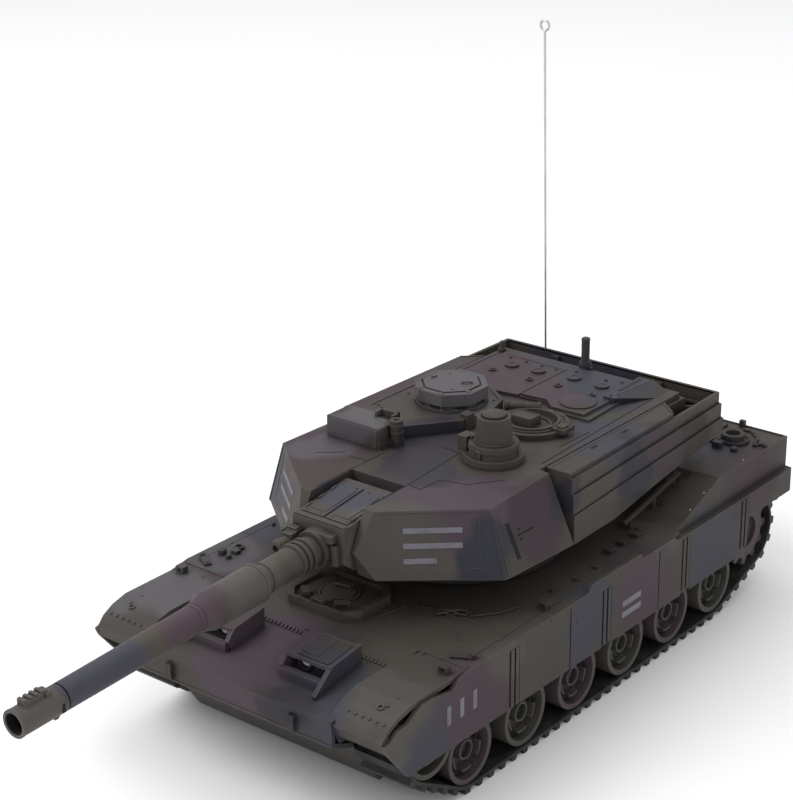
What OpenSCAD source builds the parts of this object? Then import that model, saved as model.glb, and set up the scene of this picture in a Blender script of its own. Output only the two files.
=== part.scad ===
// Radio-controlled toy tank, about 1:24, with running gear, drive train, turning turret and lifting gun.
// Axes: the gun points to -Y, +X is the tank's own left, Z is up and z = 0 is the floor.

/* [Hull] */
// Half width over the side skirts
half_w = 75; // [73:0.5:78]
// Height of the deck above the floor
deck_z = 55.8; // [55:0.2:57]
// Height of the raised engine deck
engine_z = 68.2; // [66:0.2:69]
// Front of the nose
nose_y = -96; // [-98:0.5:-94]
// Rear face of the hull
tail_y = 200; // [198:0.5:202]
// Wall thickness of the mouldings
wall = 2; // [1.6:0.1:2.2]

/* [Running gear] */
// Distance between road wheels
wheel_pitch = 36; // [34:0.5:36]
// Place of the front road wheel
wheel_y = -40.6; // [-42:0.2:-40]
// Radius of the track belt's inside around a road wheel
belt_r = 13.9; // [13:0.1:14]
// Radius of the track belt's inside around the drive sprocket
drive_r = 16.2; // [15:0.1:16.4]
// Thickness of the track belt without its cleats
belt_t = 1.4; // [1.2:0.1:1.6]
// Height of the cleats
cleat_h = 2.1; // [1.6:0.1:2.2]
// Number of cleats on one track
cleats = 76; // [60:1:80]

/* [Turret] */
// Place of the turret's turning axis
ring_y = 44; // [42:0.5:46]
// Radius of the turret ring
ring_r = 45; // [40:0.5:45.5]
// Height of the turret roof
roof_z = 101.4; // [100:0.2:103]
// Underside of the turret armour
under_z = 73.1; // [72.5:0.1:74]

/* [Gun] */
// Outside radius of the barrel
gun_r = 5.3; // [4.5:0.1:5.6]
// Angle that the barrel points down when it rests
droop = 2.5; // [0:0.1:3]
// Place of the muzzle along the tank
muzzle_y = -199.76; // [-202:0.1:-190]
// Height of the middle of the muzzle
muzzle_z = 77.3; // [76:0.1:80]

/* [Hidden] */
$fn = 48;

olive = [0.30, 0.29, 0.26];
dark_olive = [0.22, 0.21, 0.19];
plum = [0.30, 0.26, 0.29];
steel = [0.62, 0.63, 0.65];
rubber_black = [0.07, 0.07, 0.07];
board_green = [0.10, 0.35, 0.18];
white_plastic = [0.85, 0.85, 0.82];

// Fits and fasteners
screw_r = 1.2;
pin_r = 1.5;
run_gap = 0.05;
free_gap = 0.3;

// Track and wheels, in the side view (y, z)
tip_h = belt_t + cleat_h;
axle_z = belt_r + tip_h;
idler_y = -64.5;
idler_z = 31.3;
sprocket_y = 170.5;
sprocket_z = 30.5;
track_in = 48.6;
track_out = 72.3;
cleat_w = 3.6;

// Hull
tub_x = 47.5;
tub_z = 8;
tub_front = -78;
tub_rear = 193;
nose_x = 50;
nose_top = 47.8;
nose_low = 37;
glacis_end = -45;
skirt_low = 27.6;
skirt_t = 2;
skirt_x = half_w - skirt_t;
// Outside of the skirt plate, behind the faces of its ribs
plate_x = half_w - 0.3;
ramp_y = 105;
crest_y = 139;
box_x = 71.5;
tail_low = 42;

// Drive train, in the side view
gear_module = 0.8;
final_teeth = 30;
small_teeth = 10;
big_teeth = 28;
pinion_teeth = 10;
reduction_y = sprocket_y - gear_module * (final_teeth + small_teeth) / 2;
motor_y = reduction_y - gear_module * (big_teeth + pinion_teeth) / 2;
motor_r = 10;

// Battery bay
cell_r = 7.1;
cell_l = 50;
cell_gap = 15;
bay_y = 10;
bay_w = 64;
bay_l = 60;
switch_x = 22;
switch_y = -22;

// Turret points
side_y = 37;
rear_y = 143.3;
slot_half = 13.6;
slot_back = -7;
rack_front = 41.4;
rack_rear = 160;
rack_low = 70.4;
rack_top = 98.9;
rack_wall = 1.6;
lid_end = 126;

// Gun
pivot_y = -15;
pivot_z = muzzle_z + (pivot_y - muzzle_y) * tan(droop);
barrel_l = (pivot_y - muzzle_y) / cos(droop);

// ---------- helpers ----------

// Puts a side-view shape (y, z) across the tank from x0 to x1
module across(x0, x1) {
    translate([x0, 0, 0]) rotate([90, 0, 90]) linear_extrude(x1 - x0) children();
}

// A round bar along X
module bar_x(x0, x1, y, z, r) {
    translate([x0, y, z]) rotate([0, 90, 0]) cylinder(r = r, h = x1 - x0);
}

// Repeats its children on the other side of the tank
module both() {
    children();
    mirror([1, 0, 0]) children();
}

// Mirrors its children when the side is -1
module on_side(side) {
    mirror([side < 0 ? 1 : 0, 0, 0]) children();
}

// A box given by its two corners
module block(a, b) {
    translate(a) cube(b - a);
}

// ---------- track path: a belt round four circles, counter-clockwise in the side view ----------

circles = [
    [idler_y, idler_z, belt_r],
    [wheel_y, axle_z, belt_r],
    [wheel_y + 5 * wheel_pitch, axle_z, belt_r],
    [sprocket_y, sprocket_z, drive_r]];

function span(a, b) = norm([b[0] - a[0], b[1] - a[1]]);
function normal_angle(a, b) = atan2(b[1] - a[1], b[0] - a[0]) - acos((a[2] - b[2]) / span(a, b));
function unit(t) = [cos(t), sin(t)];
function sum(v, n) = n <= 0 ? 0 : v[n - 1] + sum(v, n - 1);

run_angle = [for (i = [0:3]) normal_angle(circles[i], circles[(i + 1) % 4])];
arc_start = [for (i = [0:3]) run_angle[(i + 3) % 4]];
arc_turn = [for (i = [0:3]) (run_angle[i] - arc_start[i] + 720) % 360];
piece_len = [for (i = [0:3]) for (part = [0:1])
    part == 0
        ? circles[i][2] * arc_turn[i] * PI / 180
        : sqrt(pow(span(circles[i], circles[(i + 1) % 4]), 2)
            - pow(circles[i][2] - circles[(i + 1) % 4][2], 2))];
loop_len = sum(piece_len, 8);

function piece_at(s, i = 0) = (i == 7 || s < piece_len[i]) ? [i, s] : piece_at(s - piece_len[i], i + 1);

// Point of the belt at length s along its inside, h outside it
function belt_point(s, h) =
    let (found = piece_at((s + loop_len) % loop_len), i = floor(found[0] / 2))
    let (u = found[1], c = circles[i])
    found[0] % 2 == 0
        ? [c[0], c[1]] + (c[2] + h) * unit(arc_start[i] + u / c[2] * 180 / PI)
        : [c[0], c[1]] + (c[2] + h) * unit(run_angle[i]) + u * unit(run_angle[i] + 90);

cleat_pitch = loop_len / cleats;
cleat_outline = [[0, belt_t], [0.5, tip_h], [cleat_w - 0.5, tip_h], [cleat_w, belt_t],
    [(cleat_w + cleat_pitch) / 2, belt_t]];

module track_side_view() {
    difference() {
        polygon([for (k = [0:cleats - 1]) for (p = cleat_outline) belt_point(k * cleat_pitch + p[0], p[1])]);
        polygon([for (k = [0:cleats * 2 - 1]) belt_point(k * cleat_pitch / 2, 0)]);
    }
}

module track() {
    color(rubber_black) across(track_in, track_out) track_side_view();
}

// ---------- wheels ----------

module web_openings(count, r_in, r_out, half_angle, x0, x1) {
    for (k = [0:count - 1])
        rotate([k * 360 / count + 90, 0, 0])
            across(x0, x1)
                polygon([r_in * unit(0), r_out * unit(half_angle), r_out * unit(-half_angle)]);
}

// A road wheel or idler on its axle, standing at the origin of the side view
module wheel_shape(r) {
    difference() {
        union() {
            difference() {
                bar_x(53, 71.6, 0, 0, r);
                bar_x(66, 72, 0, 0, r - 2.2);
                bar_x(52, 62, 0, 0, r - 2.6);
            }
            bar_x(54, 69.6, 0, 0, 4.2);
            difference() {
                bar_x(66, 70, 0, 0, r - 4.6);
                bar_x(65, 71, 0, 0, r - 5.6);
            }
        }
        web_openings(5, 5.4, r - 3, 21, 61, 71);
        bar_x(50, 68, 0, 0, 2 + run_gap);
        bar_x(66.4, 72, 0, 0, 3.3);
    }
}

module wheel(number) {
    color(number % 2 == 1 ? plum : olive)
        translate([0, wheel_y + (number - 1) * wheel_pitch, axle_z]) wheel_shape(belt_r - free_gap);
}

module idler() {
    color(olive) translate([0, idler_y, idler_z]) wheel_shape(belt_r - free_gap);
}

module toothed_disc(count, r_root, r_tip, root_half, tip_half, phase) {
    polygon([for (k = [0:count - 1]) for (p = [[r_root, -root_half], [r_tip, -tip_half], [r_tip, tip_half],
        [r_root, root_half]]) p[0] * unit(k * 360 / count + phase + p[1] * 360 / count)]);
}

module sprocket() {
    teeth = 11;
    color(plum) translate([0, sprocket_y, sprocket_z])
        difference() {
            union() {
                for (x = [53, 67])
                    across(x, x + 3) toothed_disc(teeth, drive_r - 3.6, drive_r - free_gap, 0.32, 0.13, 0);
                bar_x(53.5, 69.5, 0, 0, 9);
            }
            bar_x(68, 72, 0, 0, 7.2);
            bar_x(50, 72, 0, 0, 2);
        }
}

// ---------- drive train ----------

// Spur gear outline with relieved flanks, phase in degrees
module gear_outline(teeth, phase) {
    r = gear_module * teeth / 2;
    outline = [[r - 1.15 * gear_module, -0.31], [r - 0.2, -0.23], [r + 0.72 * gear_module, -0.09],
        [r + 0.72 * gear_module, 0.09], [r - 0.2, 0.23], [r - 1.15 * gear_module, 0.31]];
    polygon([for (k = [0:teeth - 1]) for (p = outline) p[0] * unit((k + p[1]) * 360 / teeth + phase)]);
}

module drive_axle() {
    color(steel) {
        bar_x(29.8, 67.6, sprocket_y, sprocket_z, 2);
        translate([0, sprocket_y, sprocket_z])
            across(37.4, 41) gear_outline(final_teeth, 180);
    }
}

module reduction_gear() {
    color(white_plastic) {
        translate([0, reduction_y, sprocket_z]) {
            across(36, 41.4) gear_outline(small_teeth, 180 / small_teeth);
            across(33, 36) gear_outline(big_teeth, 180);
        }
        bar_x(29.8, 44.2, reduction_y, sprocket_z, 1);
    }
}

module motor_pinion() {
    color(steel) {
        translate([0, motor_y, sprocket_z])
            across(32.6, 36.2) gear_outline(pinion_teeth, 180 / pinion_teeth);
        bar_x(28.3, 36.2, motor_y, sprocket_z, 1);
    }
}

module motor() {
    color(steel) {
        difference() {
            union() {
                bar_x(4, 28, motor_y, sprocket_z, motor_r);
                bar_x(28, 29.3, motor_y, sprocket_z, 3);
            }
            bar_x(28.2, 30, motor_y, sprocket_z, 1 + run_gap);
        }
        for (dz = [-4, 4])
            bar_x(1, 4, motor_y, sprocket_z + dz, 0.8);
    }
}

// Two bearing plates joined by a floor
module gearbox() {
    plate_front = motor_y - 12;
    plate_rear = sprocket_y + 3.4;
    color(white_plastic)
        difference() {
            union() {
                for (x = [29.4, 42.4])
                    block([x, plate_front, tub_z + wall], [x + 1.8, plate_rear, sprocket_z + 12]);
                block([29.4, plate_front, tub_z + wall], [44.2, plate_rear, tub_z + wall + 1.8]);
            }
            bar_x(28, 46, sprocket_y, sprocket_z, 2 + run_gap);
            bar_x(28, 46, reduction_y, sprocket_z, 1 + run_gap);
            bar_x(28, 40, motor_y, sprocket_z, 1 + run_gap);
        }
}

module wheel_axles() {
    color(steel)
        both()
            for (p = concat([for (i = [0:5]) [wheel_y + i * wheel_pitch, axle_z]], [[idler_y, idler_z]])) {
                bar_x(tub_x, 66.8, p[0], p[1], 2);
                bar_x(66.8, 68, p[0], p[1], 3);
            }
}

// ---------- hull ----------

hull_top = [[nose_y, nose_top], [glacis_end, deck_z], [ramp_y, deck_z], [crest_y, engine_z],
    [tail_y, engine_z]];
hull_under = [[tail_y, engine_z - wall], [crest_y + 0.8, engine_z - wall], [ramp_y + 0.8, deck_z - wall],
    [glacis_end, deck_z - wall], [nose_y, nose_top - wall]];

tub_floor = [[tub_front - 6, 34], [tub_front + 12, tub_z], [tub_rear - 18, tub_z], [tub_rear, 26]];
tub_inner = [[tub_front - 3.6, 34.4], [tub_front + 13.2, tub_z + wall], [tub_rear - 19, tub_z + wall],
    [tub_rear - wall, 26.8]];

module tub_side_view(points, front, rear, top) {
    polygon(concat(points, [[rear, top], [front, top]]));
}

module lower_hull() {
    color(dark_olive)
        difference() {
            across(-tub_x, tub_x)
                tub_side_view(tub_floor, tub_front - 6, tub_rear, 44);
            across(wall - tub_x, tub_x - wall)
                tub_side_view(tub_inner, tub_front - 3.6, tub_rear - wall, 60);
            block([-bay_w / 2, bay_y, 0], [bay_w / 2, bay_y + bay_l, 20]);
            block([switch_x - 2.3, switch_y - 3.2, 0], [switch_x + 2.3, switch_y + 6.2, 20]);
            both() {
                bar_x(40, 60, sprocket_y, sprocket_z, 3);
                for (y = screw_rows)
                    translate([screw_x, y, 0]) cylinder(r = 1.6, h = 20);
            }
        }
    color(dark_olive)
        both()
            for (y = screw_rows)
                translate([screw_x, y, tub_z + wall]) screw_post(deck_z - wall - tub_z - wall - 2);
}

screw_x = 38;
screw_rows = [-40, 90];

module screw_post(h) {
    difference() {
        cylinder(r = 3.4, h = h);
        translate([0, 0, -1]) cylinder(r = 1.6, h = h + 2);
    }
}

fender_top = [[glacis_end, deck_z - 0.4], [-79, deck_z - 0.6], [-86.5, 53.4], [-92, 50.4], [-95.4, 46.6],
    [-93.8, 42]];
fender_under = [[-91.8, 42.4], [-93, 46.2], [-90.6, 49], [-85.6, 51.6], [-79, 53.2 - 0.4],
    [glacis_end, deck_z - wall]];

module upper_hull() {
    color(olive)
        difference() {
            union() {
                across(-nose_x, nose_x)
                    polygon(concat(hull_top, hull_under));
                across(-nose_x, nose_x)
                    polygon([[nose_y, nose_top], [nose_y, nose_low], [tub_front - 6.6, 32],
                        [tub_front - 6.6, 34], [nose_y + wall, nose_low + 1],
                        [nose_y + wall, nose_top - 0.6]]);
                both() {
                    across(nose_x - 2, skirt_x) polygon(concat(fender_top, fender_under));
                    across(nose_x - 2, nose_x)
                        polygon(concat(fender_top, [[-91.5, nose_low], [-83, nose_low], [-83, 49.6],
                            [glacis_end, deck_z - 4]]));
                    across(nose_x, skirt_x)
                        polygon([[glacis_end, deck_z], [ramp_y, deck_z], [ramp_y, deck_z - wall],
                            [glacis_end, deck_z - wall]]);
                    across(nose_x, box_x)
                        polygon([[ramp_y, deck_z], [crest_y, engine_z], [tail_y, engine_z],
                            [tail_y, engine_z - wall], [crest_y + 0.8, engine_z - wall],
                            [ramp_y + 0.8, deck_z - wall], [ramp_y, deck_z - wall]]);
                    across(box_x - wall, box_x)
                        polygon([[ramp_y, deck_z - wall], [ramp_y, deck_z], [crest_y, engine_z],
                            [tail_y, engine_z], [tail_y, 53.6], [ramp_y, 53.6]]);
                    across(box_x - wall, skirt_x)
                        polygon([[ramp_y, 53.6], [tail_y, 53.6], [tail_y, 51.8], [ramp_y, 51.8]]);
                    across(tub_x, tub_x + 1)
                        polygon([[tub_front, 47], [glacis_end, deck_z - wall], [tub_rear, deck_z - wall],
                            [tub_rear, 50], [tub_front, 44]]);
                }
                for (x = [-screw_x, screw_x])
                    for (y = screw_rows)
                        translate([x, y, deck_z - wall - 2 + 0.05])
                            cylinder(r = 3.4, h = 2.4);
            }
            translate([0, ring_y, 40]) cylinder(r = ring_r + free_gap, h = 30, $fn = 96);
            translate([antenna_x, antenna_y, 60]) cylinder(r = 1.5, h = 20);
            for (x = [-screw_x, screw_x])
                for (y = screw_rows)
                    translate([x, y, 45]) cylinder(r = screw_r + run_gap, h = 10);
        }
}

skirt_outline = [[-82, skirt_low], [157.5, skirt_low - 2], [160, tail_low], [tail_y - 0.2, tail_low],
    [tail_y - 0.2, 53.6], [ramp_y - 4, 53.6], [ramp_y - 6, deck_z], [74, deck_z], [72, 58.4], [36, 58.4],
    [34, deck_z], [-42, deck_z], [-52, 54.2], [-56, 51.6], [-66, 53.4], [-73, 53.6], [-78, 52], [-82, 49.6],
    [-88, 49.4], [-92, 46.6], [-95.4, 45.6], [-93.8, 42]];
twin_ribs = [-16.6, 47.4, 108.7, 158.4];

// One skirt with its seams and its upright pairs of ribs
module skirt() {
    color(plum) {
        difference() {
            across(skirt_x, plate_x) polygon(skirt_outline);
            for (y = [21.3, 87.1])
                block([plate_x - 0.6, y - 0.4, 20], [half_w + 1, y + 0.4, 54]);
            for (y = twin_ribs)
                block([plate_x - 0.7, y - 3.4, 20], [half_w + 1, y + 3.4, 52.4]);
        }
        for (y = twin_ribs)
            for (dy = [-2.6, 0.6])
                block([plate_x - 0.8, y + dy, y > 150 ? 29 : skirt_low], [half_w, y + dy + 2, 52.4]);
    }
}

// Height of the sloping front plate at y
function glacis(y) = nose_top + (y - nose_y) * (deck_z - nose_top) / (glacis_end - nose_y);

// Lamp box between two guard plates, with a roof and a low front rail
module headlamp_guard() {
    roof = [[-63, 60.6], [-80, 58.4], [-80, 56.8], [-63, 59]];
    outer = [[-62, 60.8], [-79, 58.6], [-89, 50.2], [-88, glacis(-88)], [-62, glacis(-62)]];
    inner = [[-62, 60.8], [-79, 58.6], [-83, 54], [-81, glacis(-81)], [-62, glacis(-62)]];
    rail = [[-84, 53.2], [-84, glacis(-84)], [-81.6, glacis(-81.6)], [-81.6, 53.6]];
    box = [[-64, 58.9], [-76, 57.4], [-76, glacis(-76)], [-64, glacis(-64)]];
    color(dark_olive)
        difference() {
            union() {
                across(14, 36) polygon(roof);
                across(34.5, 36.5) polygon(outer);
                across(13, 15) polygon(inner);
                across(14, 35) polygon(rail);
                across(17, 33) polygon(box);
            }
            translate([21, -74, 54.6]) rotate([90, 0, 0]) cylinder(r = 2.6, h = 6);
        }
}

module headlamp_lens() {
    color(white_plastic)
        translate([21, -74, 54.6]) rotate([90, 0, 0]) {
            cylinder(r = 2.5, h = 1.6);
            translate([0, 0, 1.6]) cylinder(r1 = 2.5, r2 = 1.6, h = 0.8);
        }
}

module driver_hatch() {
    outline = [[-15, -46], [13, -46], [18, -40], [18, -22], [13, -16], [-15, -16], [-20, -22], [-20, -40]];
    color(olive)
        difference() {
            translate([0, 0, deck_z]) linear_extrude(4) polygon(outline);
            translate([0, -1, deck_z + 2.4])
                linear_extrude(3) polygon([for (p = outline) [p[0] * 0.86, p[1] * 0.86 - 4]]);
        }
    color(olive)
        translate([-1, -31, deck_z + 2.4]) {
            cylinder(r = 7, h = 1.2);
            block([-3, -9.5, 0], [3, -6, 1.4]);
        }
}

module filler_cap() {
    color(dark_olive)
        translate([55.2, 180, engine_z])
            difference() {
                union() {
                    cylinder(r = 7, h = 1);
                    translate([-1, 0.6, 0]) cylinder(r = 5.2, h = 3.6);
                }
                translate([-1, 0.6, 1.6]) cylinder(r = 3.4, h = 3);
            }
}

// Louvred covers over the engine, let into the deck
module engine_grilles() {
    color(dark_olive)
        for (x = [-34, -6, 22])
            difference() {
                block([x, 160, engine_z], [x + 22, 194, engine_z + 1.2]);
                for (y = [163:3:190])
                    block([x + 2, y, engine_z + 0.4], [x + 20, y + 1.4, engine_z + 2]);
            }
}

module eye_bracket(p) {
    translate(p)
        difference() {
            block([-2, -1.6, 0], [2, 1.6, 3]);
            translate([0, 3, 1.5]) rotate([90, 0, 0]) cylinder(r = 0.8, h = 6);
        }
}

// Height of the deck and of the ramp behind it at y
function ramp_z(y) = deck_z + max(0, y - ramp_y) * (engine_z - deck_z) / (crest_y - ramp_y);

// The tool tube that leans on the ramp: its lower end, its rise and its height at y
tube_y = 92;
tube_slope = 0.224;
function tube_z(y) = deck_z + 2.6 + (y - tube_y) * tube_slope;

// Lifting eyes, towing lugs, the clips along the deck and the tool tube
module deck_fittings() {
    color(dark_olive) {
        for (x = [-68, 68]) {
            eye_bracket([x, -52, deck_z - 0.4]);
            eye_bracket([x, 12, deck_z]);
            eye_bracket([x * 0.78, 169, engine_z]);
        }
        for (y = [68, 78, 88])
            block([59, y, deck_z], [62.6, y + 4, deck_z + 1.8]);
        both()
            difference() {
                block([30, nose_y - 2, 38.6], [33, nose_y, 45]);
                bar_x(29, 35, nose_y - 1, 41.6, 0.6);
            }
        translate([53, tube_y, tube_z(tube_y)])
            rotate([atan(tube_slope) - 90, 0, -1.4]) cylinder(r = 1.4, h = 43);
        for (y = [94, 112, 128])
            block([51.6, y, ramp_z(y)], [55.4, y + 2, tube_z(y) + 0.3]);
    }
}

module rear_plate() {
    color(dark_olive) {
        difference() {
            block([-69, tail_y - 2.4, 36], [69, tail_y - 0.4, engine_z - wall]);
            for (z = [47:3:62])
                block([-40, tail_y - 1.2, z], [40, tail_y + 1, z + 1.4]);
        }
        both()
            block([52, tail_y - 0.4, 54], [64, tail_y, 60]);
    }
}

// ---------- power and control ----------

module battery_cover() {
    color(dark_olive)
        difference() {
            union() {
                block([0.2 - bay_w / 2, bay_y + 0.2, tub_z],
                    [bay_w / 2 - 0.2, bay_y + bay_l - 0.2, tub_z + wall]);
                for (x = [-20, 12])
                    block([x, bay_y - 3, tub_z + wall], [x + 8, bay_y + 4, tub_z + wall + 1.2]);
            }
            for (x = [-24:8:24])
                block([x - 1, bay_y + 12, tub_z - 1], [x + 1, bay_y + 48, tub_z + 0.6]);
            translate([0, bay_y + bay_l - 5, 0]) cylinder(r = 1.3, h = 20);
        }
}

module batteries() {
    color(steel)
        for (k = [0:3])
            translate([(k - 1.5) * cell_gap, bay_y + 5, tub_z + wall + cell_r + 0.1])
                rotate([-90, 0, 0]) {
                    cylinder(r = cell_r, h = cell_l - 1.5);
                    translate([0, 0, cell_l - 1.5]) cylinder(r = 2.6, h = 1.5);
                }
}

module battery_contacts() {
    color(steel)
        for (k = [0:3])
            for (y = [bay_y + 3.9, bay_y + cell_l + 5.2])
                block([(k - 1.5) * cell_gap - 5, y, 12], [(k - 1.5) * cell_gap + 5, y + 0.5, 24]);
}

module circuit_board() {
    color(board_green)
        difference() {
            block([-28, 84, 20], [28, 118, 21.6]);
            for (x = [-24, 24])
                translate([x, 101, 10]) cylinder(r = 1.3, h = 20);
        }
    color(rubber_black) {
        block([-10, 94, 21.6], [8, 106, 23.4]);
        block([14, 90, 21.6], [22, 96, 23]);
    }
    color(steel)
        for (x = [-20, -15])
            translate([x, 112, 21.6]) cylinder(r = 2, h = 7);
    color(white_plastic)
        for (x = [-24, 24])
            translate([x, 101, tub_z + wall])
                difference() {
                    cylinder(r = 2.6, h = 20 - tub_z - wall);
                    cylinder(r = 0.9, h = 20);
                }
}

module power_switch() {
    color(rubber_black) {
        block([switch_x - 2, switch_y - 2.5, tub_z - 0.6],
            [switch_x + 2, switch_y + 2.5, tub_z + wall + 0.1]);
        block([switch_x - 4, switch_y - 5.5, tub_z + wall + 0.1],
            [switch_x + 4, switch_y + 5.5, tub_z + wall + 2.4]);
    }
}

module hull_screws() {
    color(steel) {
        both()
            for (y = screw_rows)
                translate([screw_x, y, tub_z - 0.8]) {
                    cylinder(r = 2.6, h = 0.8);
                    cylinder(r = screw_r, h = deck_z - wall - tub_z);
                }
        translate([0, bay_y + bay_l - 5, tub_z - 0.7]) {
            cylinder(r = 2.4, h = 0.7);
            cylinder(r = 1.25, h = 5);
        }
    }
}

// ---------- antenna ----------

antenna_x = -43.6;
antenna_y = 172.3;
wire_r = 0.55;
wire_len = 178.4;
wire_lean = 1.35;
loop_r = 2.3;

module antenna_socket() {
    color(dark_olive)
        translate([antenna_x, antenna_y, 0])
            difference() {
                union() {
                    translate([0, 0, engine_z]) cylinder(r = 3.4, h = 1);
                    translate([0, 0, engine_z + 1]) cylinder(r1 = 2.6, r2 = 1.6, h = 3);
                    translate([0, 0, engine_z - 6]) cylinder(r = 1.4, h = 6);
                }
                translate([0, 0, engine_z - 3]) cylinder(r = wire_r + 0.25, h = 10);
            }
}

module antenna_wire() {
    color(steel)
        translate([antenna_x, antenna_y, engine_z - 2])
            rotate([0, -wire_lean, 0]) {
                cylinder(r = wire_r, h = wire_len);
                translate([0, 0, wire_len + loop_r]) rotate([90, 0, 0])
                    rotate_extrude() translate([loop_r, 0]) circle(r = wire_r, $fn = 16);
            }
}

// ---------- turret ----------

// Corner points of one half of the armour shell, drawn in by t
function shell_corners(t) = [
    [18.4, -32.3 + t, 99.8 - t], [53.7 - t, -3.5 + t, 100.5 - t], [47.3 - t, side_y, roof_z - t],
    [14.7, -40.1 + t * 1.2, 83.6], [22.4, -36.4 + t * 1.2, under_z - 0.5 * t],
    [62.1 - 1.2 * t, -4.3 + t * 0.6, under_z - 0.5 * t],
    [64.7 - 1.2 * t, side_y - 1.2 - t, under_z - 0.5 * t],
    [47.3 - t, rear_y - t, roof_z - t], [47.3 - t, rear_y - t, under_z - 0.5 * t]];

module corner_hull(points) {
    hull()
        both()
            for (p = points)
                translate([p[0], p[1], p[2] - corner / 2]) cube(corner, center = true);
}

// The armour shell, hollow, with a walled slot for the mantlet and its pivot
module turret_shell() {
    color(olive)
        difference() {
            union() {
                difference() {
                    corner_hull(shell_corners(0));
                    difference() {
                        corner_hull(shell_corners(wall));
                        block([-slot_half - wall, -60, 60], [slot_half + wall, slot_back + wall, 110]);
                    }
                    both() rack_clearance();
                }
                for (p = turret_screw_at)
                    translate([p[0], p[1], under_z]) cylinder(r = 3, h = roof_z - wall - under_z);
            }
            block([-slot_half, -60, 60], [slot_half, slot_back, 110]);
            bar_x(-17, 17, pivot_y, pivot_z, pin_r + run_gap);
            for (p = turret_screw_at)
                translate([p[0], p[1], 60]) cylinder(r = screw_r + run_gap, h = 20);
        }
}

turret_screw_at = [[40, 0], [-40, 0], [38, 100], [-38, 100]];

// The side wall behind the cheeks stands upright, beside the stowage rack
module rack_clearance() {
    block([47.4, side_y, 60], [80, rear_y + 1, 110]);
}

// Size of the little cubes that the armour is stretched over
corner = 0.01;
base_outline = [[21, -34], [59.5, -3], [62, side_y - 3], [45, side_y + 2], [45, rear_y - 3]];

module turret_base() {
    mirrored = [for (i = [len(base_outline) - 1:-1:0]) [-base_outline[i][0], base_outline[i][1]]];
    color(dark_olive)
        difference() {
            union() {
                translate([0, 0, under_z - corner - 1.8])
                    linear_extrude(1.8)
                        difference() {
                            polygon(concat(base_outline, mirrored));
                            translate([-slot_half - 1, -60]) square([2 * slot_half + 2, 51]);
                        }
                translate([0, ring_y, deck_z + 0.5])
                    cylinder(r = ring_r + 2, h = under_z - 1.8 - deck_z - 0.5, $fn = 96);
                translate([0, ring_y, deck_z - wall - 3]) cylinder(r = ring_r, h = 8, $fn = 96);
                translate([0, ring_y, deck_z - wall - 3]) cylinder(r = ring_r + 1.2, h = 2.6, $fn = 96);
            }
            translate([0, ring_y, 40]) cylinder(r = ring_r - 3, h = 40, $fn = 96);
            for (p = turret_screw_at)
                translate([p[0], p[1], 60]) cylinder(r = screw_r + run_gap, h = 20);
        }
}

// Side view of the stowage rack, as y and z: its underside, the two steps in its wall and its rim
rack_under = [[rack_front, rack_low], [72, 70.6], [102, 74.6], [147, 79.4], [rack_rear, 81]];
rack_lines = [rack_under, [[rack_front, 83], [rack_rear, 87.5]], [[rack_front, 91.9], [rack_rear, 94]],
    [[rack_front, rack_top], [rack_rear, rack_top]]];
// How far each of the three wall bands stands out at the front and at the rear, from the lowest up
rack_sides = [[61.9, 60.4], [61.2, 59.2], [60.4, 57.8]];
lid_top = 101;
lid_edge = 1.2;

// Plan of the rack, a C around the turret's rear, at half widths x1 in front and x2 behind
function rack_plan(x1, x2, t) = [[47.5 + t, rack_front + t], [x1 - t, rack_front + t],
    [x2 - t, rack_rear - t], [t - x2, rack_rear - t], [t - x1, rack_front + t], [-47.5 - t, rack_front + t],
    [-47.5 - t, rear_y + 0.1 + t], [47.5 + t, rear_y + 0.1 + t]];
function flipped(list) = [for (i = [len(list) - 1:-1:0]) list[i]];
// What lies behind the slanting rear ends of the lids
behind_lids = [[-80, lid_end - 4], [-57.6, lid_end - 4], [-46, lid_end + 6], [46, lid_end + 6],
    [57.6, lid_end - 4], [80, lid_end - 4], [80, 200], [-80, 200]];

module rack_band(k) {
    intersection() {
        linear_extrude(120) polygon(rack_plan(rack_sides[k][0], rack_sides[k][1], 0));
        across(-80, 80) polygon(concat(rack_lines[k], flipped(rack_lines[k + 1])));
    }
}

// The room inside the rack from the floor up to z
module rack_room(z) {
    intersection() {
        linear_extrude(z) polygon(rack_plan(rack_sides[2][0], rack_sides[2][1], rack_wall));
        across(-80, 80)
            polygon(concat([for (p = rack_under) [p[0], p[1] + rack_wall]],
                [[rack_rear, 130], [rack_front, 130]]));
    }
}

module turret_rack() {
    color(plum)
        difference() {
            union() {
                for (k = [0:2])
                    rack_band(k);
                translate([0, 0, rack_top - 1])
                    linear_extrude(lid_top - rack_top + 1)
                        difference() {
                            polygon(rack_plan(rack_sides[2][0] - lid_edge, rack_sides[2][1] - lid_edge, 0));
                            polygon(behind_lids);
                        }
            }
            rack_room(rack_top - 0.4);
            intersection() {
                rack_room(110);
                linear_extrude(120) polygon(behind_lids);
            }
        }
}

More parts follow.
